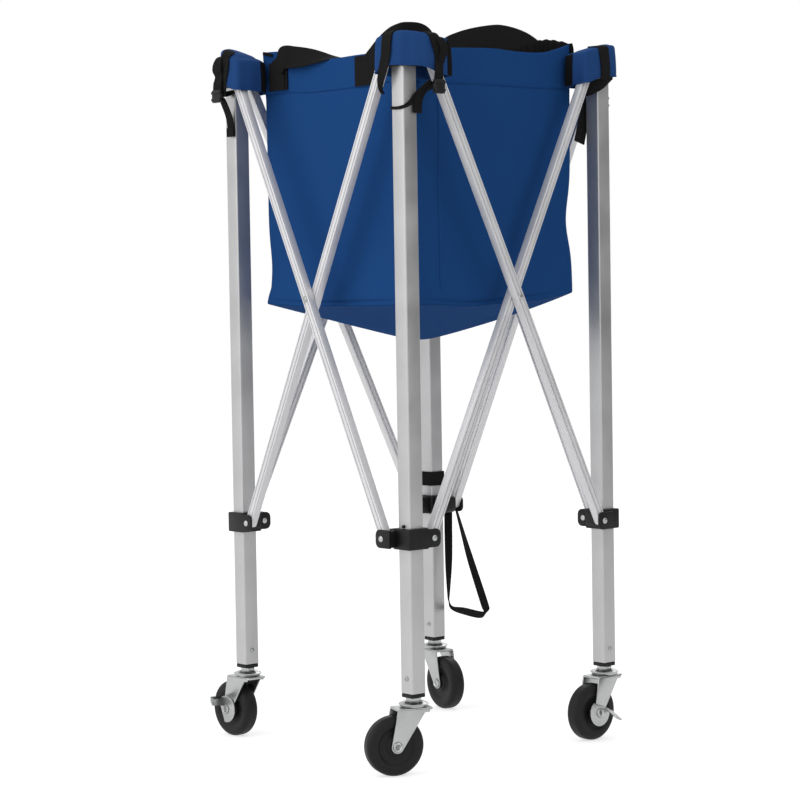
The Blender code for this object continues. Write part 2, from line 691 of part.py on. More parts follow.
def fallen_handle():
    """The front handle: one end folds over the rim, the other curls over the front corner.

    Between the two it hangs inside the bag. Each entry is a point and the direction of its width.
    """
    face = -BAG_HALF - WEBBING / 2 - GAP * 4
    inside = BAG_WALL + WEBBING * 3 - BAG_HALF
    first, second = handle_patches(face, BAG_RIM_Z)
    left, right, corner = first[0][0], second[0][0], BAG_HALF
    curl = 0.57
    # Each row: where its x starts, then x, y from inside or the face, and z from the rim, in widths
    rows = [
        (left, 0.03, face, 0, 0.27, (1, 0, 0)), (left, 0.20, inside, -0.03, 0.40, (1, 0, 0)),
        (left, 0.60, inside, 0.10, 0.30, (0.5, -0.3, 0.8)), (left, 1.20, inside, 0.13, 0.13, (0.2, 0, 1)),
        (left, 2.13, inside, 0.17, -0.13, (0.2, 0, 1)), (left, 3.33, inside, 0.33, -0.73, (0.2, 0, 1)),
        (right, -0.67, inside, 0.87, -1.47, (0, 0, 1)), (right, 1.00, inside, 1.53, -1.53, (0, 0, 1)),
        (corner, -0.67, inside, 1.53, -0.87, (0, 0, 1)), (corner, -0.37, inside, 1.07, 0, (0, 0.5, 1)),
        (corner, -0.23, inside, 0.47, curl, (0, 0, 1)), (corner, -0.47, inside, 0, curl, (0, 0, 1)),
        (right, 1.73, face, 0, curl, (0, 0, 1)), (right, 1.00, face, 0, curl * 0.9, (-0.3, 0, 1)),
        (right, 0.43, face, 0, curl * 0.5, (-0.7, 0, 0.7)), (right, 0.07, face, 0, 0.03, (-1, 0, 0.3))]
    route = [(Vector((x + dx * HANDLE_WIDTH, y + dy * HANDLE_WIDTH, BAG_RIM_Z + dz * HANDLE_WIDTH)), wide)
             for x, dx, y, dy, dz, wide in rows]
    ends = [[(point, (way, 0, 0)) for point in patch] for patch, way in ((first, 1), (second[::-1], -1))]
    route = ends[0] + route + ends[1]
    return ribbon([point for point, _ in route], [wide for _, wide in route], HANDLE_WIDTH, WEBBING)


def hood_boxes(cloth, drop):
    """The boxes round a bracket and its two arms that a hood fills, grown by its cloth."""
    grow = HOOD_GAP + cloth
    over_pins = RIVET_HEAD_HEIGHT + GAP + grow
    z = (HOOD_BOTTOM_Z - drop, BRACKET_TOP_Z + grow)
    middle = BRACKET_HALF + grow
    reach = (0, ARM_REACH + HOOD_PAST_ARM + grow)
    return [block((-middle, -middle, z[0]), (middle, middle, z[1])),
            side_block(True, reach, (-CHEEK_DEPTH - over_pins, OUTER_PLATE_FACE + over_pins), z),
            side_block(False, reach, (-CHEEK_DEPTH - over_pins, INNER_PLATE_FACE + over_pins), z)]


def hood_web():
    """The cloth that ties a hood to the bag's nearest corner, along the diagonal between them."""
    near = CHEEK_DEPTH * math.sqrt(2)
    corner = BAG_HALF - BAG_CORNER * (1 - math.sqrt(0.5))
    web = block((near, -WEB_THICK / 2, BAG_RIM_Z - WEB_HEIGHT),
                ((FOOT - corner) * math.sqrt(2) - GAP, WEB_THICK / 2, BAG_RIM_Z - HOOD_CLOTH))
    web.data.transform(Matrix.Rotation(math.radians(135), 4, "Z"))
    return web


def strap_shapes(name):
    """One corner's webbing: a band down the hood, a ring round the leg, a buckle and its tail."""
    ring = HOOD_BOTTOM_Z - STRAP_RING_BELOW_HOOD
    low, high = ring - STRAP_RING_HEIGHT / 2, ring + STRAP_RING_HEIGHT / 2
    room = LEG_HALF + GAP
    wide = room + STRAP_WEBBING
    half = STRAP_WIDTH / 2
    face = INNER_PLATE_FACE + RIVET_HEAD_HEIGHT + HOOD_GAP + HOOD_CLOTH
    far = face + GAP + STRAP_WEBBING
    shapes = [block((-wide, -wide, low), (wide, wide, high)),
              block((-half, -far, low), (half, -face, BRACKET_TOP_Z)),
              block((-half, -far, low), (half, -room, low + STRAP_WEBBING))]
    buckle_high = HOOD_BOTTOM_Z + BUCKLE_TOP[name]
    buckle_low = buckle_high - BUCKLE_HEIGHT
    if name == "front":
        shapes.append(block((room, -half, low), (room + BUCKLE_DEPTH / 2, half, low + STRAP_WEBBING)))
        near, turn = wide + GAP, math.pi / 2
    else:
        near, turn = far - STRAP_WEBBING / 2, 0.0
    back = near + BUCKLE_DEPTH / 2
    loose = [block((-BUCKLE_WIDTH / 2, -near - BUCKLE_DEPTH, buckle_low),
                   (BUCKLE_WIDTH / 2, -near, buckle_high),
                   BUCKLE_DEPTH / 4),
             block((-half, -back - STRAP_WEBBING, buckle_low - TAIL_LENGTH),
                   (half, -back, buckle_low + STRAP_WIDTH / 4))]
    for shape in loose:
        shape.data.transform(Matrix.Rotation(turn, 4, "Z"))
    return shapes + loose


def hood_mesh(name):
    """A cloth pocket over one bracket, open below, with its tie to the bag and its strap."""
    room = LEG_HALF + GAP
    leg_hole = block((-room, -room, HOOD_BOTTOM_Z - BUCKLE_HEIGHT * 3),
                     (room, room, HOOD_BOTTOM_Z + HOOD_SKIRT * 3))
    return merged([*hood_boxes(HOOD_CLOTH, 0.0), hood_web(), *strap_shapes(name)],
                  [tool("room", merged(hood_boxes(0.0, GAP))), leg_hole])


def carry_mesh():
    """The carrying strap: a flat loop under the back slider's outer arm."""
    top = -ARM_HALF_HEIGHT - GAP * 2
    half_gap = CARRY_WIDTH * 0.3
    left = TAB_START / 2 - PIVOT_OUT + half_gap
    right = left - CARRY_SPREAD
    foot = top - CARRY_DROP
    y = CARRY_WIDTH / 2 - OUTER_PLATE_FACE
    wide = CARRY_SPREAD
    points = [(half_gap - PIVOT_OUT, top), (half_gap - PIVOT_OUT, top - wide * 0.1), (left, top - wide * 0.4),
              (left + wide * 0.03, foot + wide * 0.5), (left + wide * 0.02, foot + wide * 0.2),
              (left - wide * 0.1, foot + wide * 0.03), (right + wide * 0.2, foot - wide * 0.1),
              (right + wide * 0.03, foot - wide * 0.07), (right, foot + wide * 0.17),
              (right + wide * 0.37, foot + wide * 1.03),
              (-half_gap - PIVOT_OUT, top - wide * 0.1), (-half_gap - PIVOT_OUT, top)]
    return ribbon([(x, y, z) for x, z in points], (0, 1, 0), CARRY_WIDTH, STRAP_WEBBING)


def build_bodies():
    """Empties on the joint axes, in the order of the folding chain that starts at the front leg."""
    body("front_leg", leg_place(0))
    for index, (first, second) in enumerate(SIDE_LEGS):
        side = first + "_" + second
        outer_top = side_place(index, PIVOT_OUT, OUTER_LAYER, TOP_PIVOT_Z)
        inner_top = side_place(index, LEG_SPACING - PIVOT_OUT, INNER_LAYER, TOP_PIVOT_Z)
        crossing = side_place(index, LEG_SPACING / 2, OUTER_LAYER, CROSSING_Z)
        body(side + "_outer_bar", crossing if index == 3 else outer_top)
        body(side + "_inner_bar", crossing if index in (0, 1) else inner_top)
    body("right_leg", side_place(0, LEG_SPACING - PIVOT_OUT, 0, TOP_PIVOT_Z))
    body("back_leg", side_place(1, LEG_SPACING - PIVOT_OUT, 0, TOP_PIVOT_Z))
    body("left_leg", side_place(3, PIVOT_OUT, 0, TOP_PIVOT_Z))
    body("front_slider", side_place(0, PIVOT_OUT, 0, SLIDER_PIVOT_Z))
    body("right_slider", side_place(0, LEG_SPACING - PIVOT_OUT, 0, SLIDER_PIVOT_Z))
    body("back_slider", side_place(1, LEG_SPACING - PIVOT_OUT, 0, SLIDER_PIVOT_Z))
    body("left_slider", side_place(3, PIVOT_OUT, 0, SLIDER_PIVOT_Z))
    for index, name in enumerate(LEG_NAMES):
        heading = math.radians(CASTER_HEADING[name])
        hub = leg_place(index, WHEEL_RADIUS) + Vector((math.cos(heading), math.sin(heading), 0)) * TRAIL
        body(name + "_fork", leg_place(index, FORK_TOP_Z))
        body(name + "_wheel", hub)
        if name in BRAKE_TURN:
            body(name + "_brake", hub)
    for index in (0, 2):
        body(LEG_NAMES[index] + "_button", leg_place(index, BUTTON_Z))


def build_legs():
    bracket, slider, stem, button = bracket_mesh(), slider_mesh(), stem_mesh(), button_mesh()
    for index, name in enumerate(LEG_NAMES):
        turn = (0, 0, quarter(index))
        on_leg, on_slider = name + "_leg", name + "_slider"
        foot = leg_place(index)
        screw_side = -1 if index < 2 else 1
        with_button = index in (0, 2)
        part("leg_tube_" + name, leg_mesh(with_button, screw_side), "aluminium", on_leg, foot, turn)
        part("top_bracket_" + name, bracket, "black_plastic", on_leg, leg_place(index, TOP_PIVOT_Z), turn)
        part("foot_plug_" + name, plug_mesh(screw_side), "black_plastic", on_leg, foot, turn)
        part("plug_screw_" + name, screw_mesh(screw_side), "zinc_steel", on_leg,
             leg_place(index, SCREW_Z), turn)
        part("caster_stem_" + name, stem, "zinc_steel", on_leg, foot, turn)
        part("slider_" + name, slider, "black_plastic", on_slider, leg_place(index, SLIDER_PIVOT_Z), turn)
        if with_button:
            part("stop_button_" + name, button, "zinc_steel", name + "_button",
                 leg_place(index, BUTTON_Z), turn)


def build_bars():
    hung = bar_mesh(-BAR_LENGTH, 0.0)
    centred = bar_mesh(-BAR_LENGTH / 2, BAR_LENGTH / 2)
    rivet = rivet_mesh(INNER_LAYER - GAP - OUTER_LAYER, BAR_DEPTH + GAP, "X")
    for index, (first, second) in enumerate(SIDE_LEGS):
        side = first + "_" + second
        outer_v, inner_v = OUTER_LAYER + BAR_DEPTH / 2, INNER_LAYER + BAR_DEPTH / 2
        crossing = side_place(index, LEG_SPACING / 2, outer_v, CROSSING_Z)
        inner_crossing = side_place(index, LEG_SPACING / 2, inner_v, CROSSING_Z)
        if index == 3:
            part("outer_bar_" + side, centred, "aluminium", side + "_outer_bar", crossing,
                 (BAR_LEAN, 0, quarter(index)))
        else:
            part("outer_bar_" + side, hung, "aluminium", side + "_outer_bar",
                 side_place(index, PIVOT_OUT, outer_v, TOP_PIVOT_Z), (BAR_LEAN, 0, quarter(index)))
        if index in (0, 1):
            part("inner_bar_" + side, centred, "aluminium", side + "_inner_bar", inner_crossing,
                 (-BAR_LEAN, 0, quarter(index)))
        else:
            part("inner_bar_" + side, hung, "aluminium", side + "_inner_bar",
                 side_place(index, LEG_SPACING - PIVOT_OUT, inner_v, TOP_PIVOT_Z),
                 (-BAR_LEAN, 0, quarter(index)))
        part("centre_rivet_" + side, rivet, "zinc_steel", side + "_outer_bar",
             side_place(index, LEG_SPACING / 2, OUTER_LAYER, CROSSING_Z), (0, 0, quarter(index)))


def build_casters():
    fork, wheel, brake = fork_mesh(), wheel_mesh(), brake_mesh()
    short_axle, long_axle = axle_mesh(0.0), axle_mesh(BRAKE_STEEL + GAP)
    for index, name in enumerate(LEG_NAMES):
        yaw = math.radians(CASTER_HEADING[name])
        hub = leg_place(index, WHEEL_RADIUS) + Vector((math.cos(yaw), math.sin(yaw), 0)) * TRAIL
        braked = name in BRAKE_TURN
        part("fork_" + name, fork, "zinc_steel", name + "_fork", leg_place(index), (0, 0, yaw))
        part("axle_" + name, long_axle if braked else short_axle, "zinc_steel", name + "_fork", hub,
             (0, 0, yaw))
        part("wheel_" + name, wheel, "black_rubber", name + "_wheel", hub, (0, 0, yaw))
        if braked:
            out = FORK_INNER_WIDTH / 2 + FORK_STEEL + GAP + BRAKE_STEEL / 2
            place = hub + Vector((-math.sin(yaw), math.cos(yaw), 0)) * out
            lever = transformed(brake, Matrix.Rotation(math.radians(-BRAKE_TURN[name]), 4, "Y"))
            part("brake_lever_" + name, lever, "zinc_steel", name + "_brake", place, (0, 0, yaw))


def build_cloth():
    part("bag", bag_mesh(), "blue_cloth", "front_leg")
    part("bag_handle_front", fallen_handle(), "black_webbing", "front_leg")
    part("bag_handle_back", standing_handle(), "black_webbing", "front_leg")
    for index, name in enumerate(LEG_NAMES):
        part("corner_hood_" + name, hood_mesh(name), "blue_cloth", name + "_leg", leg_place(index),
             (0, 0, quarter(index)))
    part("carry_strap", carry_mesh(), "black_webbing", "back_slider", leg_place(2, SLIDER_PIVOT_Z),
         (0, 0, quarter(2)))


def centre_on_floor():
    """Moves everything so that the middle of the whole outline stands on the origin."""
    bpy.context.view_layer.update()
    graph = bpy.context.evaluated_depsgraph_get()
    corners = []
    for made in PARTS.objects:
        if made.type == "MESH":
            ready = made.evaluated_get(graph)
            corners += [ready.matrix_world @ vertex.co for vertex in ready.data.vertices]
    low = [min(corner[axis] for corner in corners) for axis in range(2)]
    high = [max(corner[axis] for corner in corners) for axis in range(2)]
    shift = Vector(((low[0] + high[0]) / 2, (low[1] + high[1]) / 2, 0.0))
    for empty in BODY_EMPTIES.values():
        empty.location = Vector(empty.location) - shift
    bpy.context.view_layer.update()


build_bodies()
build_legs()
build_bars()
build_casters()
build_cloth()
centre_on_floor()
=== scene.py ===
"""Looks of the folding ball basket: satin aluminium frame, blue cloth bag, black webbing.

Every new piece is a surface worked out with numpy in the leg frame, whose origin is on the floor
under the middle of the four legs. Metres, +Z up. Sides are numbered counterclockwise from above:
0 front to right, 1 right to back, 2 back to left, 3 left to front. Side n starts at leg n. On a
side, u runs from its first leg to its second and v points outwards.
"""
import math

import bmesh
import bpy
import numpy as np
from mathutils import Matrix, Vector


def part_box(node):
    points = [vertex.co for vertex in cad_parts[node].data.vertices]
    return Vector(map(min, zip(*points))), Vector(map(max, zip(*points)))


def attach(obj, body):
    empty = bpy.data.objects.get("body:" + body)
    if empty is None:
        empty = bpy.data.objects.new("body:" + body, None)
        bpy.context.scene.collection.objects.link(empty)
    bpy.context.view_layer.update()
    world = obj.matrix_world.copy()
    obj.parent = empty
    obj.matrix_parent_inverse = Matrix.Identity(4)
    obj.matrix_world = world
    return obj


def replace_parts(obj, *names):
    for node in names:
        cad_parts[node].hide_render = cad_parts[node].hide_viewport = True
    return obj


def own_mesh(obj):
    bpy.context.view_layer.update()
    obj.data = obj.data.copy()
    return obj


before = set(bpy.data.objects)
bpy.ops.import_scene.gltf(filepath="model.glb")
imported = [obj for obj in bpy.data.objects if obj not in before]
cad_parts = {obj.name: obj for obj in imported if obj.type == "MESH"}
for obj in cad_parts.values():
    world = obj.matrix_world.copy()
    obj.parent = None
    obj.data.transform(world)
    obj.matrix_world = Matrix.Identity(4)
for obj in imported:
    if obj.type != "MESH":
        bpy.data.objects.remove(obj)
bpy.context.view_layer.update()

PI = math.pi
LEG_NAMES = ("front", "right", "back", "left")
SIDE_NAMES = ("front_right", "right_back", "back_left", "left_front")
FIT = 0.0003
UP = np.array([0, 0, 1.0])

# Legs
FOOT = 0.170
LEG_HALF = 0.011
LEG_WALL = 0.0015
LEG_CORNER = 0.0016
LEG_BOTTOM_Z = 0.1013
LEG_TOP_Z = 0.9080

# Scissor bars. The groove along each flat face is given as insets from the edge with their depths.
BAR_WIDTH = 0.012
BAR_DEPTH = 0.011
BAR_EDGE = 0.0006
BAR_GROOVE = ((0.0038, 0.0), (0.0035, 0.0016), (0.0024, 0.0016), (0.0021, 0.0))
INNER_LAYER = 0.0025
OUTER_LAYER = 0.0141
PIVOT_OUT = 0.0245
TOP_PIVOT_Z = 0.8895
SLIDER_PIVOT_Z = 0.2935
CROSSING_Z = (TOP_PIVOT_Z + SLIDER_PIVOT_Z) / 2
CROSSING_HEAD_RADIUS = 0.0042
CROSSING_HEAD = 0.0016

# Sliders
SLIDER_HALF = 0.0165
SLIDER_CORNER = 0.0030
SLIDER_BORE = 0.0114
BORE_CORNER = 0.0016
COLLAR_HALF_HEIGHT = 0.013
ARM_HALF_HEIGHT = 0.0115
ARM_ROOT = 0.0085
ARM_REACH = 0.035
SHORT_REACH = 0.0190
ARM_PLATE = 0.0027
ARM_INSIDE = -0.012
ARM_ROUND = 0.0075
RIVET_HEAD_RADIUS = 0.0040
RIVET_HEAD = 0.0014
RIVET_SUNK = 0.0006

# Feet and casters
PLUG_BOTTOM_Z = 0.0960
PLUG_FLANGE = 0.005
PLUG_CORE = 0.0092
SCREW_Z = 0.1198
BUTTON_Z = 0.3092
BUTTON_OUT = 0.0030
BUTTON_RADIUS = 0.0022
BUTTON_COLLAR = 0.0035
NUT_ACROSS = 0.0170
NUT_TOP_Z = 0.0957
RACE_TOP_Z = 0.0917
RACE_RADIUS = 0.0188
PIN_RADIUS = 0.0040
THREAD_RADIUS = 0.0045
THREAD_DEPTH = 0.00025
FORK_TOP_Z = 0.0842
FORK_PLATE = 0.003
FORK_HALF = 0.0151
FORK_STEEL = 0.002
FORK_LEAD = 0.0205
FORK_HEEL = 0.0265
FORK_EYE = 0.0080
TRAIL = 0.027
WHEEL_RADIUS = 0.0375
WHEEL_HALF = 0.011
WHEEL_SHOULDER = 0.0072
CASTER_HEADING = {"front": -111.0, "right": -89.0, "back": -9.0, "left": -178.0}
BRAKE_TURN = {"right": 21.0, "left": -112.0}
BRAKE_RADIUS = 0.018
BRAKE_FLAT = 0.0095
BRAKE_STEEL = 0.002
PAD_DROP = 24.0

# Bag
BAG_HALF = 0.145
BAG_CORNER = 0.004
BAG_WALL = 0.0018
HOOD_WALL = 0.0012
BAG_RIM_Z = 0.905
BAG_SEAM_Z = 0.585
BAG_SAG = 0.049
HEM_Z = 0.861

# Webbing
WEBBING = 0.0018
HANDLE_WIDTH = 0.030
PATCH_WIDTH = 0.038
PATCH_THICKNESS = 0.0012
BINDING_THICKNESS = 0.0014
CARRY_WIDTH = 0.0115

leg_boxes = [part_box("leg_tube_" + name) for name in LEG_NAMES]
CENTRE = np.mean([[(low[k] + high[k]) / 2 for k in (0, 1)] + [0.0] for low, high in leg_boxes], axis=0)


# Places

def turned_side(points, index):
    """Points turned about Z by index quarter turns."""
    c, s = ((1, 0), (0, 1), (-1, 0), (0, -1))[index % 4]
    points = np.asarray(points, float)
    x, y = points[..., 0], points[..., 1]
    return np.stack([x * c - y * s, x * s + y * c, points[..., 2]], -1)


def on_leg(points, index):
    """Points given about a leg's axis, with +X outwards of its own side and +Y towards the next leg."""
    return turned_side(points + np.array([FOOT, -FOOT, 0.0]), index)


def on_side(u, v, z, index):
    """The points at u along a side, v outside its legs' axes and height z."""
    u, v, z = np.broadcast_arrays(u, v, z)
    return turned_side(np.stack([FOOT + v, u - FOOT, z], -1), index)


def placed(points, origin, a, b, t):
    """Points whose three coordinates run along the directions a, b and t from origin."""
    return (np.asarray(origin, float) + points[..., 0:1] * np.asarray(a, float)
            + points[..., 1:2] * np.asarray(b, float) + points[..., 2:3] * np.asarray(t, float))


def square_to(direction):
    """Two directions that are square to one direction and to each other."""
    direction = np.asarray(direction, float)
    first = np.cross(direction, UP)
    if np.linalg.norm(first) < 0.1:
        first = np.array([1.0, 0.0, 0.0])
    first = first / np.linalg.norm(first)
    return first, np.cross(direction, first)


# Curves

def smooth_step(x):
    """0 below 0, 1 above 1, and 3x squared less 2x cubed between."""
    x = np.clip(x, 0, 1)
    return x * x * (3 - 2 * x)


def ridge(distance, width):
    """A bell of height 1: e to the minus square of distance over width."""
    return np.exp(-(distance / width) ** 2)


def swell(x):
    """Half a sine wave from x = 0 to 1, and 0 beyond."""
    return np.sin(PI * np.clip(x, 0, 1))


def smoothed(keys, count):
    """A curve through the keys, each stretch the cubic whose slope at a key is half its neighbours' gap."""
    keys = np.asarray(keys, float)
    padded = np.concatenate([2 * keys[:1] - keys[1:2], keys, 2 * keys[-1:] - keys[-2:-1]])
    t = np.linspace(0, len(keys) - 1, count)
    i = np.minimum(t.astype(int), len(keys) - 2)
    f = (t - i)[:, None]
    p, q, r, s = padded[i], padded[i + 1], padded[i + 2], padded[i + 3]
    square = 2 * p - 5 * q + 4 * r - s
    cube = 3 * q - p - 3 * r + s
    return 0.5 * (2 * q + (r - p) * f + square * f ** 2 + cube * f ** 3)


def arc(centre, radius, start, end, steps):
    """Points on a circle from one angle to another, in degrees."""
    t = np.radians(np.linspace(start, end, steps + 1))
    return np.stack([centre[0] + radius * np.cos(t), centre[1] + radius * np.sin(t)], 1)


def rounded_ring(half_x, half_y, corner, steps=5):
    """Points round a rectangle whose corners are quarter circles."""
    turns = np.linspace(0, PI / 2, steps + 1)
    corners = []
    for n, (sx, sy) in enumerate(((1, 1), (-1, 1), (-1, -1), (1, -1))):
        t = turns + n * PI / 2
        corners.append(np.stack([sx * (half_x - corner) + corner * np.cos(t),
                                 sy * (half_y - corner) + corner * np.sin(t)], 1))
    return np.concatenate(corners)


def stadium(length, half):
    """A round-ended outline along +Y: a half circle of radius half about each end of its length."""
    return np.concatenate([arc((0, 0), half, 180, 360, 12), arc((0, length), half, 0, 180, 12)])


def outward(outline):
    """At each point of a counterclockwise outline, the direction square to the line of its neighbours."""
    ahead = np.roll(outline, -1, 0) - np.roll(outline, 1, 0)
    normal = np.stack([ahead[:, 1], -ahead[:, 0]], 1)
    return normal / np.linalg.norm(normal, axis=1)[:, None]


# Surfaces

def level(ring, z):
    """A flat outline lifted to a height, or to one height for each point."""
    return np.column_stack([ring, np.full(len(ring), z)])


def edge_levels(low, high, edge, steps):
    """Inset and height of each ring of a slab whose two edges are quarter circles."""
    t = np.linspace(0, PI / 2, steps + 1)
    inset = edge * (1 - np.sin(t))
    height = edge * (1 - np.cos(t))
    return zip(np.concatenate([inset, inset[::-1]]), np.concatenate([low + height, high - height[::-1]]))


def rounded_block(low, high, corner=0.002, edge=0.001, steps=3):
    """A box with rounded upright corners and rounded upper and lower edges."""
    low, high = np.array(low, float), np.array(high, float)
    middle, half = (low + high) / 2, (high - low) / 2
    rows = []
    for inset, z in edge_levels(low[2], high[2], edge, steps):
        ring = rounded_ring(half[0] - inset, half[1] - inset, max(corner - inset, edge / 5))
        rows.append(level(ring + middle[:2], z))
    return np.array(rows)


def extruded(outline, low, high, edge=0.0004, steps=2):
    """A flat plate over an outline that runs counterclockwise, from low to high, with rounded edges."""
    outline = np.asarray(outline, float)
    normal = outward(outline)
    return np.array([level(outline - normal * inset, z) for inset, z in edge_levels(low, high, edge, steps)])


def lathe(profile, steps=48):
    """A profile of radius and height points turned about Z."""
    profile = np.asarray(profile, float)
    t = np.linspace(0, 2 * PI, steps, endpoint=False)
    return np.stack([profile[:, :1] * np.cos(t), profile[:, :1] * np.sin(t),
                     np.repeat(profile[:, 1:], steps, 1)], -1)


def ribbon(path, across, width, thickness=WEBBING, count=60):
    """Flat webbing: a rounded strip of cross-section carried along a smooth path.

    At each point its width lies along across, made square to the path. The width may change along
    the path.
    """
    line = smoothed(path, count)
    across = np.asarray(across, float)
    wide = smoothed(across, count) if across.ndim == 2 else np.repeat(across[None], count, 0)
    ahead = np.gradient(line, axis=0)
    ahead /= np.linalg.norm(ahead, axis=1)[:, None]
    wide = wide - ahead * (wide * ahead).sum(1)[:, None]
    wide /= np.linalg.norm(wide, axis=1)[:, None]
    thick = np.cross(ahead, wide)
    one_width = np.size(width) == 1
    widths = np.full((count, 1), width) if one_width else smoothed(np.atleast_1d(width)[:, None], count)
    ring = rounded_ring(1.0, thickness / 2, thickness * 0.45, 2)
    return (line[:, None] + ring[None, :, :1] * (widths[:, None] / 2) * wide[:, None]
            + ring[None, :, 1:] * thick[:, None])


def shell(grid, around=False, caps=False):
    """Points, faces and flat coordinates of a grid of points. The flat coordinates are metres along it."""
    grid = np.asarray(grid, float)
    rows, columns = grid.shape[:2]
    wide = np.concatenate([grid, grid[:, :1]], 1) if around else grid
    u = np.concatenate([[0], np.cumsum(np.linalg.norm(np.diff(wide, axis=1), axis=2).max(axis=0))])
    v = np.concatenate([[0], np.cumsum(np.linalg.norm(np.diff(grid, axis=0), axis=2).max(axis=1))])
    i, j = np.meshgrid(np.arange(rows - 1), np.arange(len(u) - 1), indexing="ij")
    k = (j + 1) % columns
    faces = np.stack([i * columns + j, i * columns + k, (i + 1) * columns + k, (i + 1) * columns + j], -1)
    corners = ((u[j], v[i]), (u[j + 1], v[i]), (u[j + 1], v[i + 1]), (u[j], v[i + 1]))
    flat = np.stack([np.stack(corner, -1) for corner in corners], -2)
    faces = faces.reshape(-1, 4).tolist()
    flat = flat.reshape(-1, 2)
    if caps:
        first = list(range(columns))
        last = [(rows - 1) * columns + n for n in range(columns)]
        faces += [first[::-1], last]
        ends = grid[[0, -1]].reshape(-1, 3)
        ends = np.concatenate([ends[:columns][::-1], ends[columns:]])
        flat = np.concatenate([flat, ends[:, [0, 2]] + ends[:, [1, 1]]])
    return grid.reshape(-1, 3), faces, flat


def closed(grid):
    """A shell whose rows are rings."""
    return shell(grid, around=True)


def capped(grid):
    """A shell whose rows are rings, with a face over its first and its last."""
    return shell(grid, around=True, caps=True)


def linked(name, data):
    """A new object of the scene."""
    made = bpy.data.objects.new(name, data)
    bpy.context.scene.collection.objects.link(made)
    return made


def piece(name, shells, finish, body, sharp=34.0, wall=0.0, stands_for=()):
    """One object from closed shells or one sheet, welded, with its faces turned outwards."""
    points, faces, flat, start = [], [], [], 0
    for part_points, part_faces, part_flat in shells:
        points.append(part_points + CENTRE)
        faces += [[start + n for n in face] for face in part_faces]
        flat.append(part_flat)
        start += len(part_points)
    mesh = bpy.data.meshes.new(name)
    mesh.from_pydata(np.concatenate(points).tolist(), [], faces)
    layer = mesh.uv_layers.new(name="UVMap")
    layer.data.foreach_set("uv", np.concatenate(flat).astype(np.float32).ravel())
    edit = bmesh.new()
    edit.from_mesh(mesh)
    bmesh.ops.remove_doubles(edit, verts=edit.verts, dist=0.000004)
    bmesh.ops.dissolve_degenerate(edit, edges=edit.edges, dist=0.000002)
    bmesh.ops.recalc_face_normals(edit, faces=edit.faces)
    edit.to_mesh(mesh)
    edit.free()
    mesh.shade_smooth()
    mesh.set_sharp_from_angle(angle=math.radians(sharp))
    mesh.materials.append(finish)
    made = linked(name, mesh)
    if wall:
        skin = made.modifiers.new("wall", "SOLIDIFY")
        skin.thickness = wall
        skin.offset = 0.0
    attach(made, body)
    if stands_for:
        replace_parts(made, *stands_for)
    return made


def part(kind, place, shells, finish, body, stands="", **more):
    """A piece that is named after its corner or side, as are its body and the CAD node it stands for."""
    nodes = [stands + "_" + place] if stands else ()
    piece(kind + "_" + place, shells, finish, place + "_" + body, stands_for=nodes, **more)


def folds_away(made, axis=(1, 0, 0), anchor=(BAG_HALF, 0, 0)):
    """Give a soft piece its own copy of its mesh."""
    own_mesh(made)
    return made


# Materials

def node_group(name, inputs):
    """A shader node group with named inputs, and a height and a share as its outputs."""
    group = bpy.data.node_groups.new(name, "ShaderNodeTree")
    for label, kind, value in inputs:
        group.interface.new_socket(label, in_out="INPUT", socket_type=kind).default_value = value
    for label in ("Height", "Share"):
        group.interface.new_socket(label, in_out="OUTPUT", socket_type="NodeSocketFloat")
    return group, group.nodes.new("NodeGroupInput"), group.nodes.new("NodeGroupOutput")


def set_values(node, values):
    """Give each socket of a node its value, or a link where the value is another node's output."""
    for label, value in values.items():
        if isinstance(value, bpy.types.NodeSocket):
            node.id_data.links.new(value, node.inputs[label])
        else:
            node.inputs[label].default_value = value


def add_node(tree, kind, values=None, **settings):
    """A new node with its settings, then the values of its sockets."""
    made = tree.nodes.new(kind)
    for key, value in settings.items():
        setattr(made, key, value)
    set_values(made, values or {})
    return made


def calculate(tree, operation, *values):
    """The result of a math node on numbers or on other nodes' outputs."""
    return add_node(tree, "ShaderNodeMath", dict(enumerate(values)), operation=operation).outputs[0]


def new_material(name, values):
    """A node material, its tree and its shader with the values of its sockets."""
    made = bpy.data.materials.new(name)
    made.use_nodes = True
    shader = made.node_tree.nodes["Principled BSDF"]
    set_values(shader, values)
    return made, made.node_tree, shader


def make_grain():
    """Fine noise on Object coordinates, stretched along one axis: a height and a share."""
    group, source, target = node_group(
        "grain", [("Stretch", "NodeSocketVector", (1, 1, 1)), ("Scale", "NodeSocketFloat", 400.0)])
    place = add_node(group, "ShaderNodeTexCoord").outputs["Object"]
    scaled = add_node(group, "ShaderNodeVectorMath", {0: place, 1: source.outputs["Stretch"]},
                      operation="MULTIPLY")
    fine = add_node(group, "ShaderNodeTexNoise", {
        "Vector": scaled.outputs[0], "Scale": source.outputs["Scale"], "Detail": 3.0})
    broad = add_node(group, "ShaderNodeTexNoise", {"Vector": place, "Scale": 18.0, "Detail": 4.0})
    set_values(target, {"Height": fine.outputs["Fac"], "Share": broad.outputs["Fac"]})
    return group


def make_weave():
    """Plain weave on the piece's own flat coordinates: two crossed sine waves of threads."""
    group, source, target = node_group(
        "weave", [("Threads", "NodeSocketFloat", 1600.0), ("Ribs", "NodeSocketFloat", 1600.0)])
    place = add_node(group, "ShaderNodeTexCoord").outputs
    split = add_node(group, "ShaderNodeSeparateXYZ", {0: place["UV"]}).outputs
    waves = [calculate(group, "SINE", calculate(group, "MULTIPLY", split[axis], source.outputs[count]))
             for axis, count in (("X", "Threads"), ("Y", "Ribs"))]
    slub = add_node(group, "ShaderNodeTexNoise", {"Vector": place["Object"], "Scale": 9.0, "Detail": 5.0})
    set_values(target, {"Height": calculate(group, "MULTIPLY", *waves), "Share": slub.outputs["Fac"]})
    return group


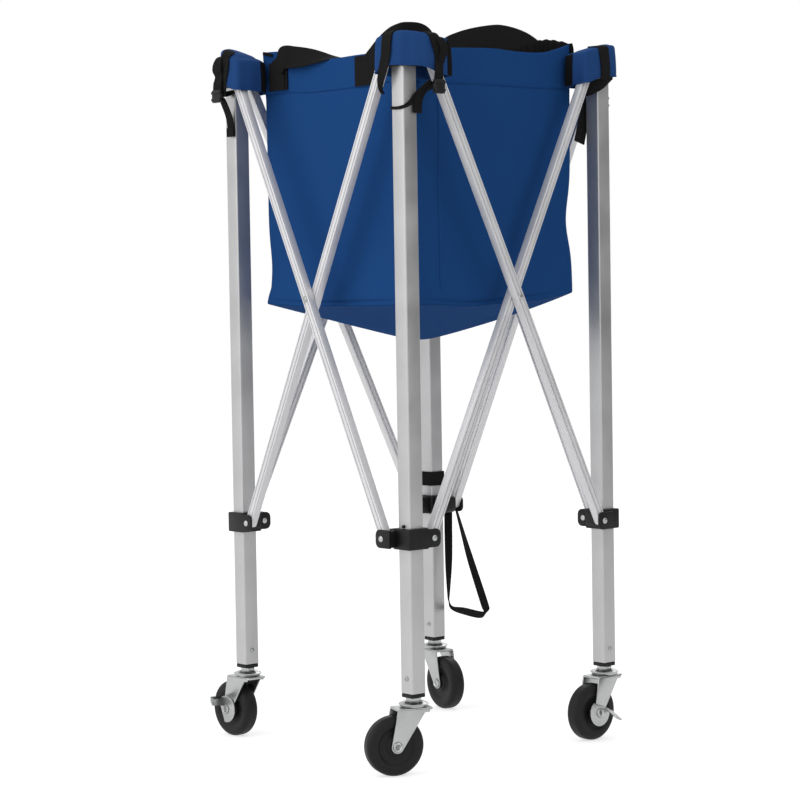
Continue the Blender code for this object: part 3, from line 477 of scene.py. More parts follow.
GRAIN = make_grain()
WEAVE = make_weave()
# How much a material's roughness wanders, and the middle range of its share over which it does
ROUGHNESS_SPREAD = 0.06
SHARE_LOW, SHARE_HIGH = 0.3, 0.7


def finish(name, dark, light, roughness, effect, values, bump, metallic=0.0, gloss=0.45):
    """A material whose colour and roughness wander between two values with its effect's share.

    Bump is the strength and the distance of the relief that its effect's height gives.
    """
    made, tree, shader = new_material(name, {"Metallic": metallic, "Specular IOR Level": gloss})
    source = add_node(tree, "ShaderNodeGroup", values, node_tree=effect).outputs
    tint = add_node(tree, "ShaderNodeMix", {
        "Factor": source["Share"], "A": (*dark, 1), "B": (*light, 1)}, data_type="RGBA")
    rough = add_node(tree, "ShaderNodeMapRange", {
        "Value": source["Share"], "From Min": SHARE_LOW, "From Max": SHARE_HIGH,
        "To Min": roughness - ROUGHNESS_SPREAD, "To Max": roughness + ROUGHNESS_SPREAD})
    relief = add_node(tree, "ShaderNodeBump", {
        "Height": source["Height"], "Strength": bump[0], "Distance": bump[1]})
    set_values(shader, {"Base Color": tint.outputs["Result"], "Roughness": rough.outputs["Result"],
                        "Normal": relief.outputs["Normal"]})
    return made


def drawn_metal(name, dark, light, roughness, metallic):
    """Aluminium with the fine upright lines of drawing."""
    return finish(name, dark, light, roughness, GRAIN, {"Stretch": (60, 60, 1), "Scale": 30.0},
                  (0.12, 0.0002), metallic)


def moulded(name, dark, light, roughness, scale, bump):
    """A black plastic or rubber with a fine even grain."""
    return finish(name, dark, light, roughness, GRAIN, {"Stretch": (1, 1, 1), "Scale": scale}, bump,
                  gloss=0.22)


def woven(name, dark, light, threads, ribs, bump, roughness=0.90):
    """A matt fabric with so many radians of threads and ribs to the metre."""
    return finish(name, dark, light, roughness, WEAVE, {"Threads": threads, "Ribs": ribs}, bump, gloss=0.06)


ALUMINIUM = drawn_metal("satin_aluminium", (0.435, 0.435, 0.44), (0.55, 0.55, 0.555), 0.38, 0.70)
# The bars' copy of the legs' aluminium: its base colour is painted much lighter, as painted light on the
# bars' shaded side faces. It is also rougher and less metallic.
LIT_BAR_ALUMINIUM = drawn_metal("aluminium_bar_painted_lighter", (0.705, 0.70, 0.715), (0.835, 0.83, 0.845), 0.48, 0.30)
ZINC = finish("zinc_plated_steel", (0.26, 0.265, 0.26), (0.56, 0.57, 0.57), 0.27, GRAIN,
              {"Stretch": (1, 1, 1), "Scale": 500.0}, (0.10, 0.0002), 0.95)
PLASTIC = moulded("black_nylon_plastic", (0.0050, 0.0050, 0.0054), (0.0090, 0.0090, 0.0096), 0.46,
                  900.0, (0.20, 0.0002))
RUBBER = moulded("black_wheel_rubber", (0.006, 0.006, 0.006), (0.011, 0.011, 0.0115), 0.52,
                 700.0, (0.25, 0.0003))
CLOTH = woven("blue_woven_cloth", (0.0108, 0.0605, 0.211), (0.0150, 0.0755, 0.251),
              4200.0, 4200.0, (0.30, 0.0003))
HOOD_CLOTH = woven("blue_hood_cloth", (0.0170, 0.063, 0.206), (0.0225, 0.077, 0.246),
                   4200.0, 4200.0, (0.30, 0.0003), 0.88)
STRAP = woven("black_webbing", (0.0125, 0.0125, 0.0127), (0.019, 0.0185, 0.018),
              2600.0, 3600.0, (0.60, 0.0006))
TAPE = woven("black_edge_tape", (0.007, 0.007, 0.0075), (0.012, 0.0115, 0.0115),
             5200.0, 3200.0, (0.50, 0.0004))


# Frame

def square_tube(half, corner, bore, bore_corner, low, high):
    """A hollow square: a rounded square ring carried up its outside and down its inside."""
    outer, inner = rounded_ring(half, half, corner), rounded_ring(bore, bore, bore_corner)
    levels = ((outer, low), (outer, high), (inner, high), (inner, low), (outer, low))
    return np.array([level(ring, z) for ring, z in levels])


def leg_tube(index):
    """A leg, from its plug to its bracket."""
    grid = square_tube(LEG_HALF, LEG_CORNER, LEG_HALF - LEG_WALL, LEG_CORNER / 3, LEG_BOTTOM_Z, LEG_TOP_Z)
    part("leg", LEG_NAMES[index], [closed(on_leg(grid, index))], ALUMINIUM, "leg", "leg_tube")


def bar_grid(start, ahead, across, out, length):
    """A round-ended bar: its stadium outline between layers, with a drawn groove along each flat face."""
    half = BAR_WIDTH / 2
    rows = extruded(stadium(length, half), -BAR_DEPTH / 2, BAR_DEPTH / 2, BAR_EDGE, 2)
    face = [level(stadium(length, half - inset), BAR_DEPTH / 2 - deep) for inset, deep in BAR_GROOVE]
    back = [ring * np.array([1, 1, -1]) for ring in face]
    return placed(np.concatenate([back, rows, face[::-1]]), start, across, ahead, out)


def bars(index):
    """The two bars of a side and their crossing rivet."""
    side = SIDE_NAMES[index]
    out = turned_side(np.array([1.0, 0, 0]), index)
    far = 2 * FOOT - PIVOT_OUT
    for bar, top_u, low_u, layer in (("outer_bar", PIVOT_OUT, far, OUTER_LAYER),
                                     ("inner_bar", far, PIVOT_OUT, INNER_LAYER)):
        v = layer + BAR_DEPTH / 2
        top = on_side(top_u, v, TOP_PIVOT_Z, index)
        low = on_side(low_u, v, SLIDER_PIVOT_Z, index)
        length = np.linalg.norm(low - top)
        ahead = (low - top) / length
        grid = bar_grid(top, ahead, np.cross(ahead, out), out, length)
        part("scissor_" + bar, side, [capped(grid)], LIT_BAR_ALUMINIUM, bar, bar)
    heads = [rivet_head(on_side(FOOT, v, CROSSING_Z, index), out * way, CROSSING_HEAD_RADIUS, CROSSING_HEAD)
             for v, way in ((OUTER_LAYER + BAR_DEPTH, 1), (INNER_LAYER, -1))]
    part("crossing_rivet", side, heads, ZINC, "outer_bar", "centre_rivet")


def turned_about(profile, steps, point, direction):
    """A closed surface turned about the line through a point along a direction."""
    a, b = square_to(direction)
    return placed(lathe(profile, steps), point, a, b, direction)


def rivet_head(point, direction, radius, tall):
    """A domed rivet head with a small pressed dimple, turned about its own axis."""
    shares = ((0, 0.72), (0.22, 0.74), (0.34, 0.98), (0.55, 0.96), (0.80, 0.72), (0.96, 0.34), (1, 0.0))
    profile = [(radius * out, tall * up) for out, up in shares] + [(radius, -RIVET_SUNK), (0, -RIVET_SUNK)]
    return closed(turned_about(profile, 28, point, direction))


def slider_arm(to_next, outer, inner_reach):
    """The two cheeks that hold a bar's end, as round-ended plates along the side's direction.

    An inner cheek that is cut short leaves the rivet's inner head on the bar itself.
    """
    face = (OUTER_LAYER if outer else INNER_LAYER) + BAR_DEPTH + FIT + ARM_PLATE
    inner_face = face - ARM_PLATE - BAR_DEPTH - 2 * FIT
    tall = ARM_HALF_HEIGHT
    layers = ((ARM_INSIDE, inner_face, ARM_ROOT, inner_reach),
              (face - ARM_PLATE, face + FIT, ARM_ROOT if outer else -SLIDER_HALF + 0.0028, ARM_REACH))
    if to_next:
        along, out = np.array([0, 1.0, 0]), np.array([1.0, 0, 0])
    else:
        along, out = np.array([-1.0, 0, 0]), np.array([0, -1.0, 0])
    centre = (0, 0, SLIDER_PIVOT_Z)
    grids = []
    for low, high, near, reach in layers:
        outline = np.concatenate([
            [[near, -tall]], arc((reach - ARM_ROUND, -tall + ARM_ROUND), ARM_ROUND, -90, 0, 8),
            arc((reach - ARM_ROUND, tall - ARM_ROUND), ARM_ROUND, 0, 90, 8), [[near, tall]]])
        grids.append(placed(extruded(outline, low, high, 0.0007, 3), centre, along, UP, out))
    web = rounded_block((inner_face - 0.004, ARM_ROOT, -tall + 0.001),
                        (face - 0.0004, SLIDER_HALF + 0.001, tall - 0.001), 0.001, 0.0008)
    grids.append(placed(web, centre, out, along, UP))
    pivot = along * PIVOT_OUT + np.array(centre)
    inside = ARM_INSIDE if inner_reach == ARM_REACH else inner_face + FIT
    return grids, [(pivot + out * (face + FIT), out), (pivot + out * inside, -out)]


def slider(index):
    """A collar that slides on the leg: a square ring with rounded corners, and its two arms.

    The near inner cheeks of the left and right sliders are short, and the back one shows no inner heads.
    """
    name = LEG_NAMES[index]
    outer = [level(rounded_ring(SLIDER_HALF - inset, SLIDER_HALF - inset, SLIDER_CORNER, 6), z)
             for inset, z in edge_levels(-COLLAR_HALF_HEIGHT, COLLAR_HALF_HEIGHT, 0.0012, 3)]
    bore = rounded_ring(SLIDER_BORE, SLIDER_BORE, BORE_CORNER, 6)
    inner = [level(bore, z) for z in (COLLAR_HALF_HEIGHT, -COLLAR_HALF_HEIGHT)]
    collar = np.array(outer + inner + outer[:1]) + UP * SLIDER_PIVOT_Z
    shells = [closed(on_leg(collar, index))]
    rivets = []
    for to_next, outer_layer in ((True, False), (False, True)):
        short = to_next if name == "left" else (not to_next and name == "right")
        grids, heads = slider_arm(to_next, outer_layer, SHORT_REACH if short else ARM_REACH)
        shells += [capped(on_leg(grid, index)) for grid in grids]
        for point, direction in heads[:1] if name == "back" else heads:
            rivets.append(rivet_head(on_leg(point, index), turned_side(direction, index),
                                     RIVET_HEAD_RADIUS, RIVET_HEAD))
    part("leg_slider", name, shells, PLASTIC, "slider", "slider")
    part("slider_rivets", name, rivets, ZINC, "slider")


def foot(index):
    """The foot plug's flange, the stem's nut and the upper race of the caster."""
    name = LEG_NAMES[index]
    flange = rounded_block((-LEG_HALF, -LEG_HALF, PLUG_BOTTOM_Z),
                           (LEG_HALF, LEG_HALF, PLUG_BOTTOM_Z + PLUG_FLANGE), 0.0024, 0.0010)
    core = rounded_block((-PLUG_CORE, -PLUG_CORE, PLUG_BOTTOM_Z + 0.003),
                         (PLUG_CORE, PLUG_CORE, LEG_BOTTOM_Z + 0.026), 0.001, 0.0005)
    plug = [capped(on_leg(grid, index)) for grid in (flange, core)]
    part("foot_cap", name, plug, PLASTIC, "leg", "foot_plug")
    hexagon = arc((0, 0), NUT_ACROSS / math.sqrt(3), 0, 300, 5)
    nut = extruded(hexagon, RACE_TOP_Z - 0.0006, NUT_TOP_Z, 0.0006, 2)
    low = FORK_TOP_Z + FIT
    race = [(0, RACE_TOP_Z), (0.0095, RACE_TOP_Z), (0.0120, RACE_TOP_Z - 0.0004)]
    race += [(RACE_RADIUS - inset, RACE_TOP_Z - drop)
             for inset, drop in ((0.0016, 0.0022), (0, 0.0030), (0, 0.0042), (0.0012, 0.0048),
                                 (0.0016, 0.0060))]
    race += [(RACE_RADIUS - 0.0030, low), (0, low)]
    pin = [(0, low + 0.001), (PIN_RADIUS, low + 0.001), (PIN_RADIUS, 0.0810), (0.0065, 0.0809),
           (0.0060, 0.0795), (PIN_RADIUS, 0.0787), (0, 0.0786)]
    thread_z = np.linspace(NUT_TOP_Z - 0.001, NUT_TOP_Z + 0.0225, 60)
    thread = [(THREAD_RADIUS + THREAD_DEPTH * (-1) ** n, z) for n, z in enumerate(thread_z)]
    thread = [(0, thread_z[0])] + thread + [(0, thread_z[-1])]
    shells = [capped(on_leg(nut, index))]
    shells += [closed(on_leg(lathe(profile, 56), index)) for profile in (race, pin, thread)]
    part("caster_race", name, shells, ZINC, "leg", "caster_stem")
    way = np.array([0.0, -1.0 if index < 2 else 1.0, 0.0])
    head = [(0, 0.0014), (0.0007, 0.0014), (0.0008, 0.0008), (0.0014, 0.00085), (0.0016, 0.0015),
            (0.0024, 0.0013), (0.0031, 0.0005), (0.0031, 0.0), (0.0014, 0.0), (0.0014, -0.0050), (0, -0.0050)]
    grid = turned_about(head, 28, way * (LEG_HALF + FIT) + UP * SCREW_Z, way)
    part("foot_screw", name, [closed(on_leg(grid, index))], ZINC, "leg", "plug_screw")


def stop_button(index):
    """A sprung stop button: a domed pin through the leg's wall."""
    out = LEG_HALF + BUTTON_OUT
    profile = [(0, out), (0.0011, out - 0.0001), (0.0018, out - 0.0006), (BUTTON_RADIUS, out - 0.0016)]
    profile += [(BUTTON_RADIUS, LEG_HALF - 0.0018), (BUTTON_COLLAR, LEG_HALF - 0.0018),
                (BUTTON_COLLAR, LEG_HALF - 0.0033), (0, LEG_HALF - 0.0033)]
    grid = placed(lathe(profile, 28), (0, 0, BUTTON_Z), (1, 0, 0), (0, 0, 1), (0, -1, 0))
    part("slider_button", LEG_NAMES[index], [closed(on_leg(grid, index))], PLASTIC, "button", "stop_button")


# Casters. Each is worked out about its stem, ahead towards its wheel and left along its axle.

def caster_frame(name):
    """The middle under a caster's stem, the direction of its wheel, and the direction of its axle."""
    yaw = math.radians(CASTER_HEADING[name])
    ahead = np.array([math.cos(yaw), math.sin(yaw), 0.0])
    left = np.array([-math.sin(yaw), math.cos(yaw), 0.0])
    return on_leg(np.zeros(3), LEG_NAMES.index(name)), ahead, left


def fork(name):
    """A pressed steel fork: a crowned plate whose two cheeks taper to round eyes on the axle."""
    origin, ahead, left = caster_frame(name)
    roof = rounded_block((-FORK_LEAD, -FORK_HALF, FORK_TOP_Z - FORK_PLATE),
                         (FORK_HEEL, FORK_HALF, FORK_TOP_Z), 0.003, 0.0011, 4)
    grids = [placed(roof, origin, ahead, left, UP)]
    top, skirt = FORK_TOP_Z - 0.0008, FORK_TOP_Z - FORK_PLATE * 1.9
    outline = np.concatenate([
        [[-0.0165, top]], arc((-0.0150, skirt + 0.0012), 0.0012, 180, 270, 4),
        [[-0.0125, skirt]], arc((-0.0108, skirt - 0.0016), 0.0017, 90, 40, 3),
        arc((TRAIL, WHEEL_RADIUS), FORK_EYE, 216, 362, 18), [[FORK_HEEL - 0.0008, top]]])
    for side in (-1, 1):
        low, high = sorted((side * FORK_HALF, side * (FORK_HALF - FORK_STEEL)))
        grids.append(placed(extruded(outline, low, high, 0.0005, 2), origin, ahead, UP, left))
    boss = [(0, 0.0002), (0.0125, 0.0002), (0.0150, -0.0010), (0.0150, -0.003), (0, -0.003)]
    boss = np.array(boss) + np.array([0, FORK_TOP_Z])
    shells = [capped(grid) for grid in grids] + [closed(placed(lathe(boss), origin, ahead, left, UP))]
    part("caster_fork", name, shells, ZINC, "fork", "fork")
    return origin + ahead * TRAIL + UP * WHEEL_RADIUS, ahead, left


def axle(name, hub, ahead, left):
    """The axle: a rolled rivet head on each side and its shank, turned about the axle's line."""
    near = FORK_HALF + FIT + (BRAKE_STEEL + FIT if name in BRAKE_TURN else 0)
    rolled = [(0, 0.0004), (0.0026, 0.0004), (0.0032, 0.0014), (0.0044, 0.0022), (0.0058, 0.0018),
              (0.0066, 0.0006), (0.0066, 0), (0, 0)]
    shank = [(0, near + 0.0004), (0.0037, near + 0.0004), (0.0037, -FORK_HALF - 0.0004),
             (0, -FORK_HALF - 0.0004)]
    shells = [closed(placed(lathe(rolled, 36), hub + left * at, ahead, UP, left * way))
              for at, way in ((near, 1), (-FORK_HALF - FIT, -1))]
    shells.append(closed(placed(lathe(shank, 32), hub, ahead, UP, left)))
    part("wheel_axle", name, shells, ZINC, "fork", "axle")


def wheel(name, hub, ahead, left):
    """A moulded wheel: a crowned tread with rounded shoulders, dished sides, a rim step and a bored hub."""
    dish = ((0.0042, 0), (0.0100, 0), (0.0118, 0.0006), (0.0126, 0.0022), (0.0215, 0.0026), (0.0226, 0.0020),
            (0.0238, 0.0006), (0.0252, 0.0002))
    shoulder = arc((WHEEL_RADIUS - WHEEL_SHOULDER, WHEEL_HALF - WHEEL_SHOULDER), WHEEL_SHOULDER, 82, 0, 12)
    upper = np.concatenate([[(radius, WHEEL_HALF - deep) for radius, deep in dish], shoulder])
    lower = upper[::-1] * np.array([1, -1])
    profile = np.concatenate([upper, [(WHEEL_RADIUS, 0.0)], lower, upper[:1]])
    shells = [closed(placed(lathe(profile, 96), hub, ahead, UP, left))]
    part("caster_wheel", name, shells, RUBBER, "wheel", "wheel", sharp=48)


def brake(name, hub, ahead, left):
    """The brake lever: a round plate with one flat side, and the foot pad bent out from its end."""
    turn, drop = math.radians(BRAKE_TURN[name]), math.radians(PAD_DROP)
    a = ahead * math.cos(turn) + UP * math.sin(turn)
    b = -ahead * math.sin(turn) + UP * math.cos(turn)
    start = math.degrees(math.asin(BRAKE_FLAT / BRAKE_RADIUS))
    near = FORK_HALF + FIT
    plate = extruded(arc((0, 0), BRAKE_RADIUS, 180 - start, 360 + start, 48), near, near + BRAKE_STEEL,
                     0.0005, 2)
    out = left * math.cos(drop) - b * math.sin(drop)
    skew = left * math.sin(drop) + b * math.cos(drop)
    corners = (((-0.0185, 0.0010), 0.0015, 180, 270, 3), ((-0.0085, 0.0010), 0.0015, 270, 360, 3),
               ((-0.0110, 0.0230), 0.0040, 0, 90, 6), ((-0.0160, 0.0230), 0.0040, 90, 180, 6))
    pad = extruded(np.concatenate([arc(*corner) for corner in corners]), -0.001, 0.001, 0.0004, 2)
    centre = hub + left * (near + BRAKE_STEEL / 2) + b * (BRAKE_FLAT - 0.0012)
    shells = [capped(placed(plate, hub, a, b, left)), capped(placed(pad, centre, a, out, skew))]
    part("brake", name, shells, ZINC, "brake", "brake_lever")


for leg in range(4):
    leg_tube(leg)
    slider(leg)
    foot(leg)
    bars(leg)
for leg in (0, 2):
    stop_button(leg)
for caster in LEG_NAMES:
    caster_parts = fork(caster)
    axle(caster, *caster_parts)
    wheel(caster, *caster_parts)
    if caster in BRAKE_TURN:
        brake(caster, *caster_parts)


# Bag

# Height of the rim along each side, at seven points from corner to corner
RIM = ((0.914, 0.906, 0.9075, 0.9095, 0.908, 0.9100, 0.9230),
       (0.9230, 0.9318, 0.927, 0.918, 0.912, 0.909, 0.916),
       (0.916, 0.908, 0.907, 0.906, 0.907, 0.911, 0.9215),
       (0.9215, 0.918, 0.903, 0.901, 0.901, 0.903, 0.917))
# Height of the bottom seam along each side
SEAM = ((0.5835, 0.5830, 0.5800, 0.5825, 0.5850, 0.5890, 0.5960),
        (0.5960, 0.5900, 0.5860, 0.5850, 0.5850, 0.5870, 0.5900),
        (0.5900, 0.5870, 0.5850, 0.5850, 0.5840, 0.5850, 0.5870),
        (0.5870, 0.5840, 0.5830, 0.5830, 0.5830, 0.5830, 0.5835))
# How far each corner is drawn in, at which height, over what height, and how far it is in elsewhere
DRAWN = ((0.0040, 0.700, 0.100, 0.0), (0.0045, 0.690, 0.040, 0.0), (0.0040, 0.670, 0.090, 0.001),
         (0.0028, 0.632, 0.040, 0.002))
# Where the rim's shape fades out below it, and the seam's above it
RIM_FADES_Z = 0.84
SEAM_FADES_Z = 0.70
# How far out and up each point of the rim band's folded outline lies from the rim
BAND = ((0.0016, -0.009), (0.0022, -0.003), (0.0016, 0.0010), (0.0, 0.0020), (-0.0018, 0.0012),
        (-0.0026, -0.004), (-0.0030, -0.013), (-0.0026, -0.0185), (-0.0016, -0.0185), (-0.0014, -0.010),
        (-0.0010, -0.0005), (0.0008, -0.0005), (0.0010, -0.009))
# Each side's body, and a plane of the bag that is passed on but not used: its direction and a point of it
BAG_SIDES = (("front_leg", (0, 1, 0), (0, -BAG_HALF, 0)), ("right_leg", (1, 0, 0), (BAG_HALF, 0, 0)),
             ("left_leg", (0, 1, 0), (0, -BAG_HALF, 0)), ("front_leg", (1, 0, 0), (BAG_HALF, 0, 0)))
# The floor's strips across the bag, from -1 to 1, and what each rides on
STRIPS = (("front", -1.0, -0.42, "front_leg"), ("middle_front", -0.42, 0.0, "front_right_inner_bar"),
          ("middle_back", 0.0, 0.42, "front_right_outer_bar"), ("back", 0.42, 1.0, "right_leg"))


def corner_draw(index, z):
    """How far a corner of the bag is pulled inwards at a height: a bell round its own height."""
    depth, middle, width, evenly = DRAWN[index % 4]
    ends = np.clip((BAG_RIM_Z - z) / 0.05, 0, 1) * np.clip((z - BAG_SEAM_Z) / 0.02, 0, 1)
    return (depth * ridge(z - middle, width) + evenly + 0.0008 * swell((BAG_RIM_Z - z) / 0.32)) * ends


def along_side(table, q):
    """The smooth curve through a side's seven heights, at q from -1 to 1."""
    fine = smoothed(np.array(table)[:, None], 241)[:, 0]
    return np.interp(q, np.linspace(-1, 1, 241), fine)


def bag_relief(index, q, z):
    """Folds of a panel, in metres outwards: slow waves down it and slanting creases at its corners.

    q runs from -1 to 1 along the side. Everything fades out towards the two corners. The front right
    panel has one long upright crease, and the left front panel is pulled flatter than the others.
    """
    down = (BAG_RIM_Z - z) / (BAG_RIM_Z - BAG_SEAM_Z)
    slow, tug = (0.0004, 0.0004) if index == 3 else (0.0012, 0.0007)
    wave = slow * np.sin(5.2 * q + 2.1 * index + 1.4 * down) * swell(down)
    wave = wave + 0.0005 * np.sin(13.0 * q + 1.3 * index - 3.0 * down)
    for side in (-1, 1):
        tension = (q * side - 0.95) + (1 - down) * 0.35
        wave = wave - tug * ridge(tension + 0.20, 0.07) * np.clip(down - 0.45, 0, 1)
        wave = wave + 0.8 * tug * ridge(tension + 0.38, 0.09) * np.clip(down - 0.55, 0, 1)
    if index == 0:
        stretch = smooth_step((0.86 - z) / 0.02) * smooth_step((z - BAG_SEAM_Z - 0.012) / 0.01)
        lean = q + 0.650 + 0.004 * np.sin(14 * down)
        wave = wave - 0.0016 * ridge(lean, 0.0055) * stretch + 0.0013 * ridge(lean - 0.016, 0.009) * stretch
    wave = wave + 0.0022 * ridge(down - 0.945, 0.030) - 0.0026 * ridge(down - 0.985, 0.007)
    belly = 0.0030 * np.clip(swell(down), 0, 1) * (1 - q * q)
    hem = 0.0008 * smooth_step((z - HEM_Z) / 0.0016) - 0.0011 * ridge(z - HEM_Z, 0.0014)
    fade = np.clip(np.cos(PI / 2 * q), 0, 1) ** 0.6
    return (wave + belly) * fade + hem * np.clip((1 - np.abs(q)) / 0.05, 0, 1)


def bag_wall_point(index, q, z):
    """A point of the bag's side: along a straight run, then round half of each corner's arc."""
    first, second = corner_draw(index, z), corner_draw(index + 1, z)
    share = smooth_step((q + 1) / 2)
    half = BAG_HALF - (first * (1 - share) + second * share)
    straight = half - BAG_CORNER
    s = q * (straight + BAG_CORNER * PI / 4)
    u = np.clip(s, -straight, straight)
    turn = (s - u) / BAG_CORNER
    u = u + BAG_CORNER * np.sin(turn)
    v = half - BAG_CORNER * (1 - np.cos(turn)) + bag_relief(index, q, z)
    return u, v


def bag_side(index):
    """One side of the bag from its rim to its bottom seam, finer where its crease, hem and seam are."""
    q = np.sin(np.linspace(-PI / 2, PI / 2, 97))
    q = np.unique(np.concatenate([(q + np.linspace(-1, 1, 97) * 2) / 3, np.linspace(-0.68, -0.61, 22)]))
    down = np.unique(np.concatenate([np.linspace(0, 1, 90), np.linspace(0.10, 0.17, 30),
                                     np.linspace(0.96, 1, 20)]))
    z = BAG_SEAM_Z + (BAG_RIM_Z - BAG_SEAM_Z) * (1 - down[:, None]) + 0 * q
    u, v = bag_wall_point(index, q[None, :] + 0 * z, z)
    near_rim = smooth_step((z - RIM_FADES_Z) / (BAG_RIM_Z - RIM_FADES_Z))
    near_seam = smooth_step((SEAM_FADES_Z - z) / (SEAM_FADES_Z - BAG_SEAM_Z))
    rise = (along_side(RIM[index], q)[None, :] - BAG_RIM_Z) * near_rim
    sink = (along_side(SEAM[index], q)[None, :] - BAG_SEAM_Z) * near_seam
    points = turned_side(np.stack([v, u, z + rise + sink], -1), index)
    body, *plane = BAG_SIDES[index]
    made = piece("bag_side_" + SIDE_NAMES[index], [shell(points)], CLOTH, body, sharp=180, wall=BAG_WALL)
    return folds_away(made, *plane)


def floor_height(x, y):
    """The sagging floor: it falls evenly from its edges to a rounded middle, creased from its corners."""
    across = np.clip(np.maximum(np.abs(x), np.abs(y)) / BAG_HALF, 0, 1)
    soft = 0.1
    reach = 1 - (np.sqrt(across ** 2 + soft ** 2) - soft) / (math.sqrt(1 + soft ** 2) - soft)
    puckers = 0.0009 * np.sin(np.arctan2(y, x) * 14 + 0.6) * across * np.clip(reach, 0, 1)
    crease = 0.0010 * ridge(y + 0.145 - 0.35 * (0.05 - x), 0.006) * ridge(x - 0.045, 0.03)
    return BAG_SEAM_Z - BAG_SAG * reach + 0.004 * reach * (1 - reach) + puckers + crease


def bag_floor():
    """The floor in four strips that meet edge to edge, so that each folds with what carries it.

    A square is moved onto the floor so that each point keeps its share of the way out to the outline.
    """
    edge_q = np.linspace(-1, 1, 241)
    sides = []
    for n in range(4):
        u, v = bag_wall_point(n, edge_q, BAG_SEAM_Z + 0 * edge_q)
        sides.append(turned_side(np.stack([v, u, 0 * edge_q], -1), n)[:-1, :2])
    outline = np.concatenate(sides)
    angle = np.arctan2(outline[:, 1], outline[:, 0])
    order = np.argsort(angle)
    radius = np.hypot(outline[:, 0], outline[:, 1])[order]
    seam = np.concatenate([along_side(SEAM[n], edge_q)[:-1] for n in range(4)])[order]
    angle = angle[order]
    for label, low, high, body in STRIPS:
        a, b = np.meshgrid(np.linspace(-1, 1, 121), np.linspace(low, high, 61))
        way = np.arctan2(b, a)
        edge = np.maximum(np.abs(a), np.abs(b))
        out = edge * np.interp(way, angle, radius, period=2 * PI)
        x, y = out * np.cos(way), out * np.sin(way)
        rise = np.interp(way, angle, seam, period=2 * PI) - BAG_SEAM_Z
        z = np.where(edge > 0.9999, BAG_SEAM_Z, floor_height(x, y)) + rise * edge ** 3
        sheet = shell(np.stack([x, y, z], -1))
        folds_away(piece("bag_floor_" + label, [sheet], CLOTH, body, sharp=180, wall=BAG_WALL))


def rim_band(index):
    """A black gathered band along the rim, folded over it: short waves run along it."""
    q = np.linspace(-0.965, 0.965, 260)
    rim = along_side(RIM[index], q) + 0.0006 * np.sin(q * 61)
    u, v = bag_wall_point(index, q, 0 * q + BAG_RIM_Z)
    rows = []
    for out, rise in BAND:
        gather = 0.0007 * np.sin(q * 88 + 2 * np.sin(q * 19)) * (0.35 + min(1.0, abs(rise) / 0.01))
        rows.append(turned_side(np.stack([v + out + gather, u, rim + rise], -1), index))
    grid = np.array(rows).transpose(1, 0, 2)
    body, *plane = BAG_SIDES[index]
    folds_away(piece("rim_band_" + SIDE_NAMES[index], [capped(grid)], TAPE, body, sharp=60), *plane)


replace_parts(bag_side(0), "bag")
for bag_index in (1, 2, 3):
    bag_side(bag_index)
bag_floor()
for bag_index in (1, 2):
    rim_band(bag_index)


# Corner hoods

# For each leg: the roof's height over the leg's outer corner, how steeply it falls away from there,
# the hem's height at the leg and how much lower it hangs farther out, how far the hood reaches along
# its own side and along the one before, and how round its upper edge is
HOODS = ((0.9180, 0.16, 0.8755, 0.0125, 0.0490, 0.0300, 0.0060),
         (0.9210, 0.27, 0.8790, 0.0125, 0.0418, 0.0418, 0.0040),
         (0.9200, 0.24, 0.8780, 0.0125, 0.0418, 0.0418, 0.0050),
         (0.9270, 0.38, 0.8840, 0.0165, 0.0440, 0.0418, 0.0060))


def rounded_outline(corners, count, radius):
    """A closed outline through corners, evenly spaced, its corners rounded by a bell-weighted average."""
    corners = np.asarray(corners, float)
    loop = np.concatenate([corners, corners[:1]])
    along = np.concatenate([[0], np.cumsum(np.linalg.norm(np.diff(loop, axis=0), axis=1))])
    s = np.linspace(0, along[-1], count, endpoint=False)
    points = np.stack([np.interp(s, along, loop[:, k]) for k in (0, 1)], 1)
    step = np.minimum(np.arange(count), count - np.arange(count)) * along[-1] / count
    bell = np.exp(-(step / radius) ** 2)
    bell /= bell.sum()
    return np.real(np.fft.ifft(np.fft.fft(points, axis=0) * np.fft.fft(bell)[:, None], axis=0))


def from_corner(x, y):
    """Distance from the leg's outer corner, with its first 8 mm rounded off."""
    return np.sqrt((x - 0.010) ** 2 + (y + 0.010) ** 2 + 0.008 ** 2) - 0.008


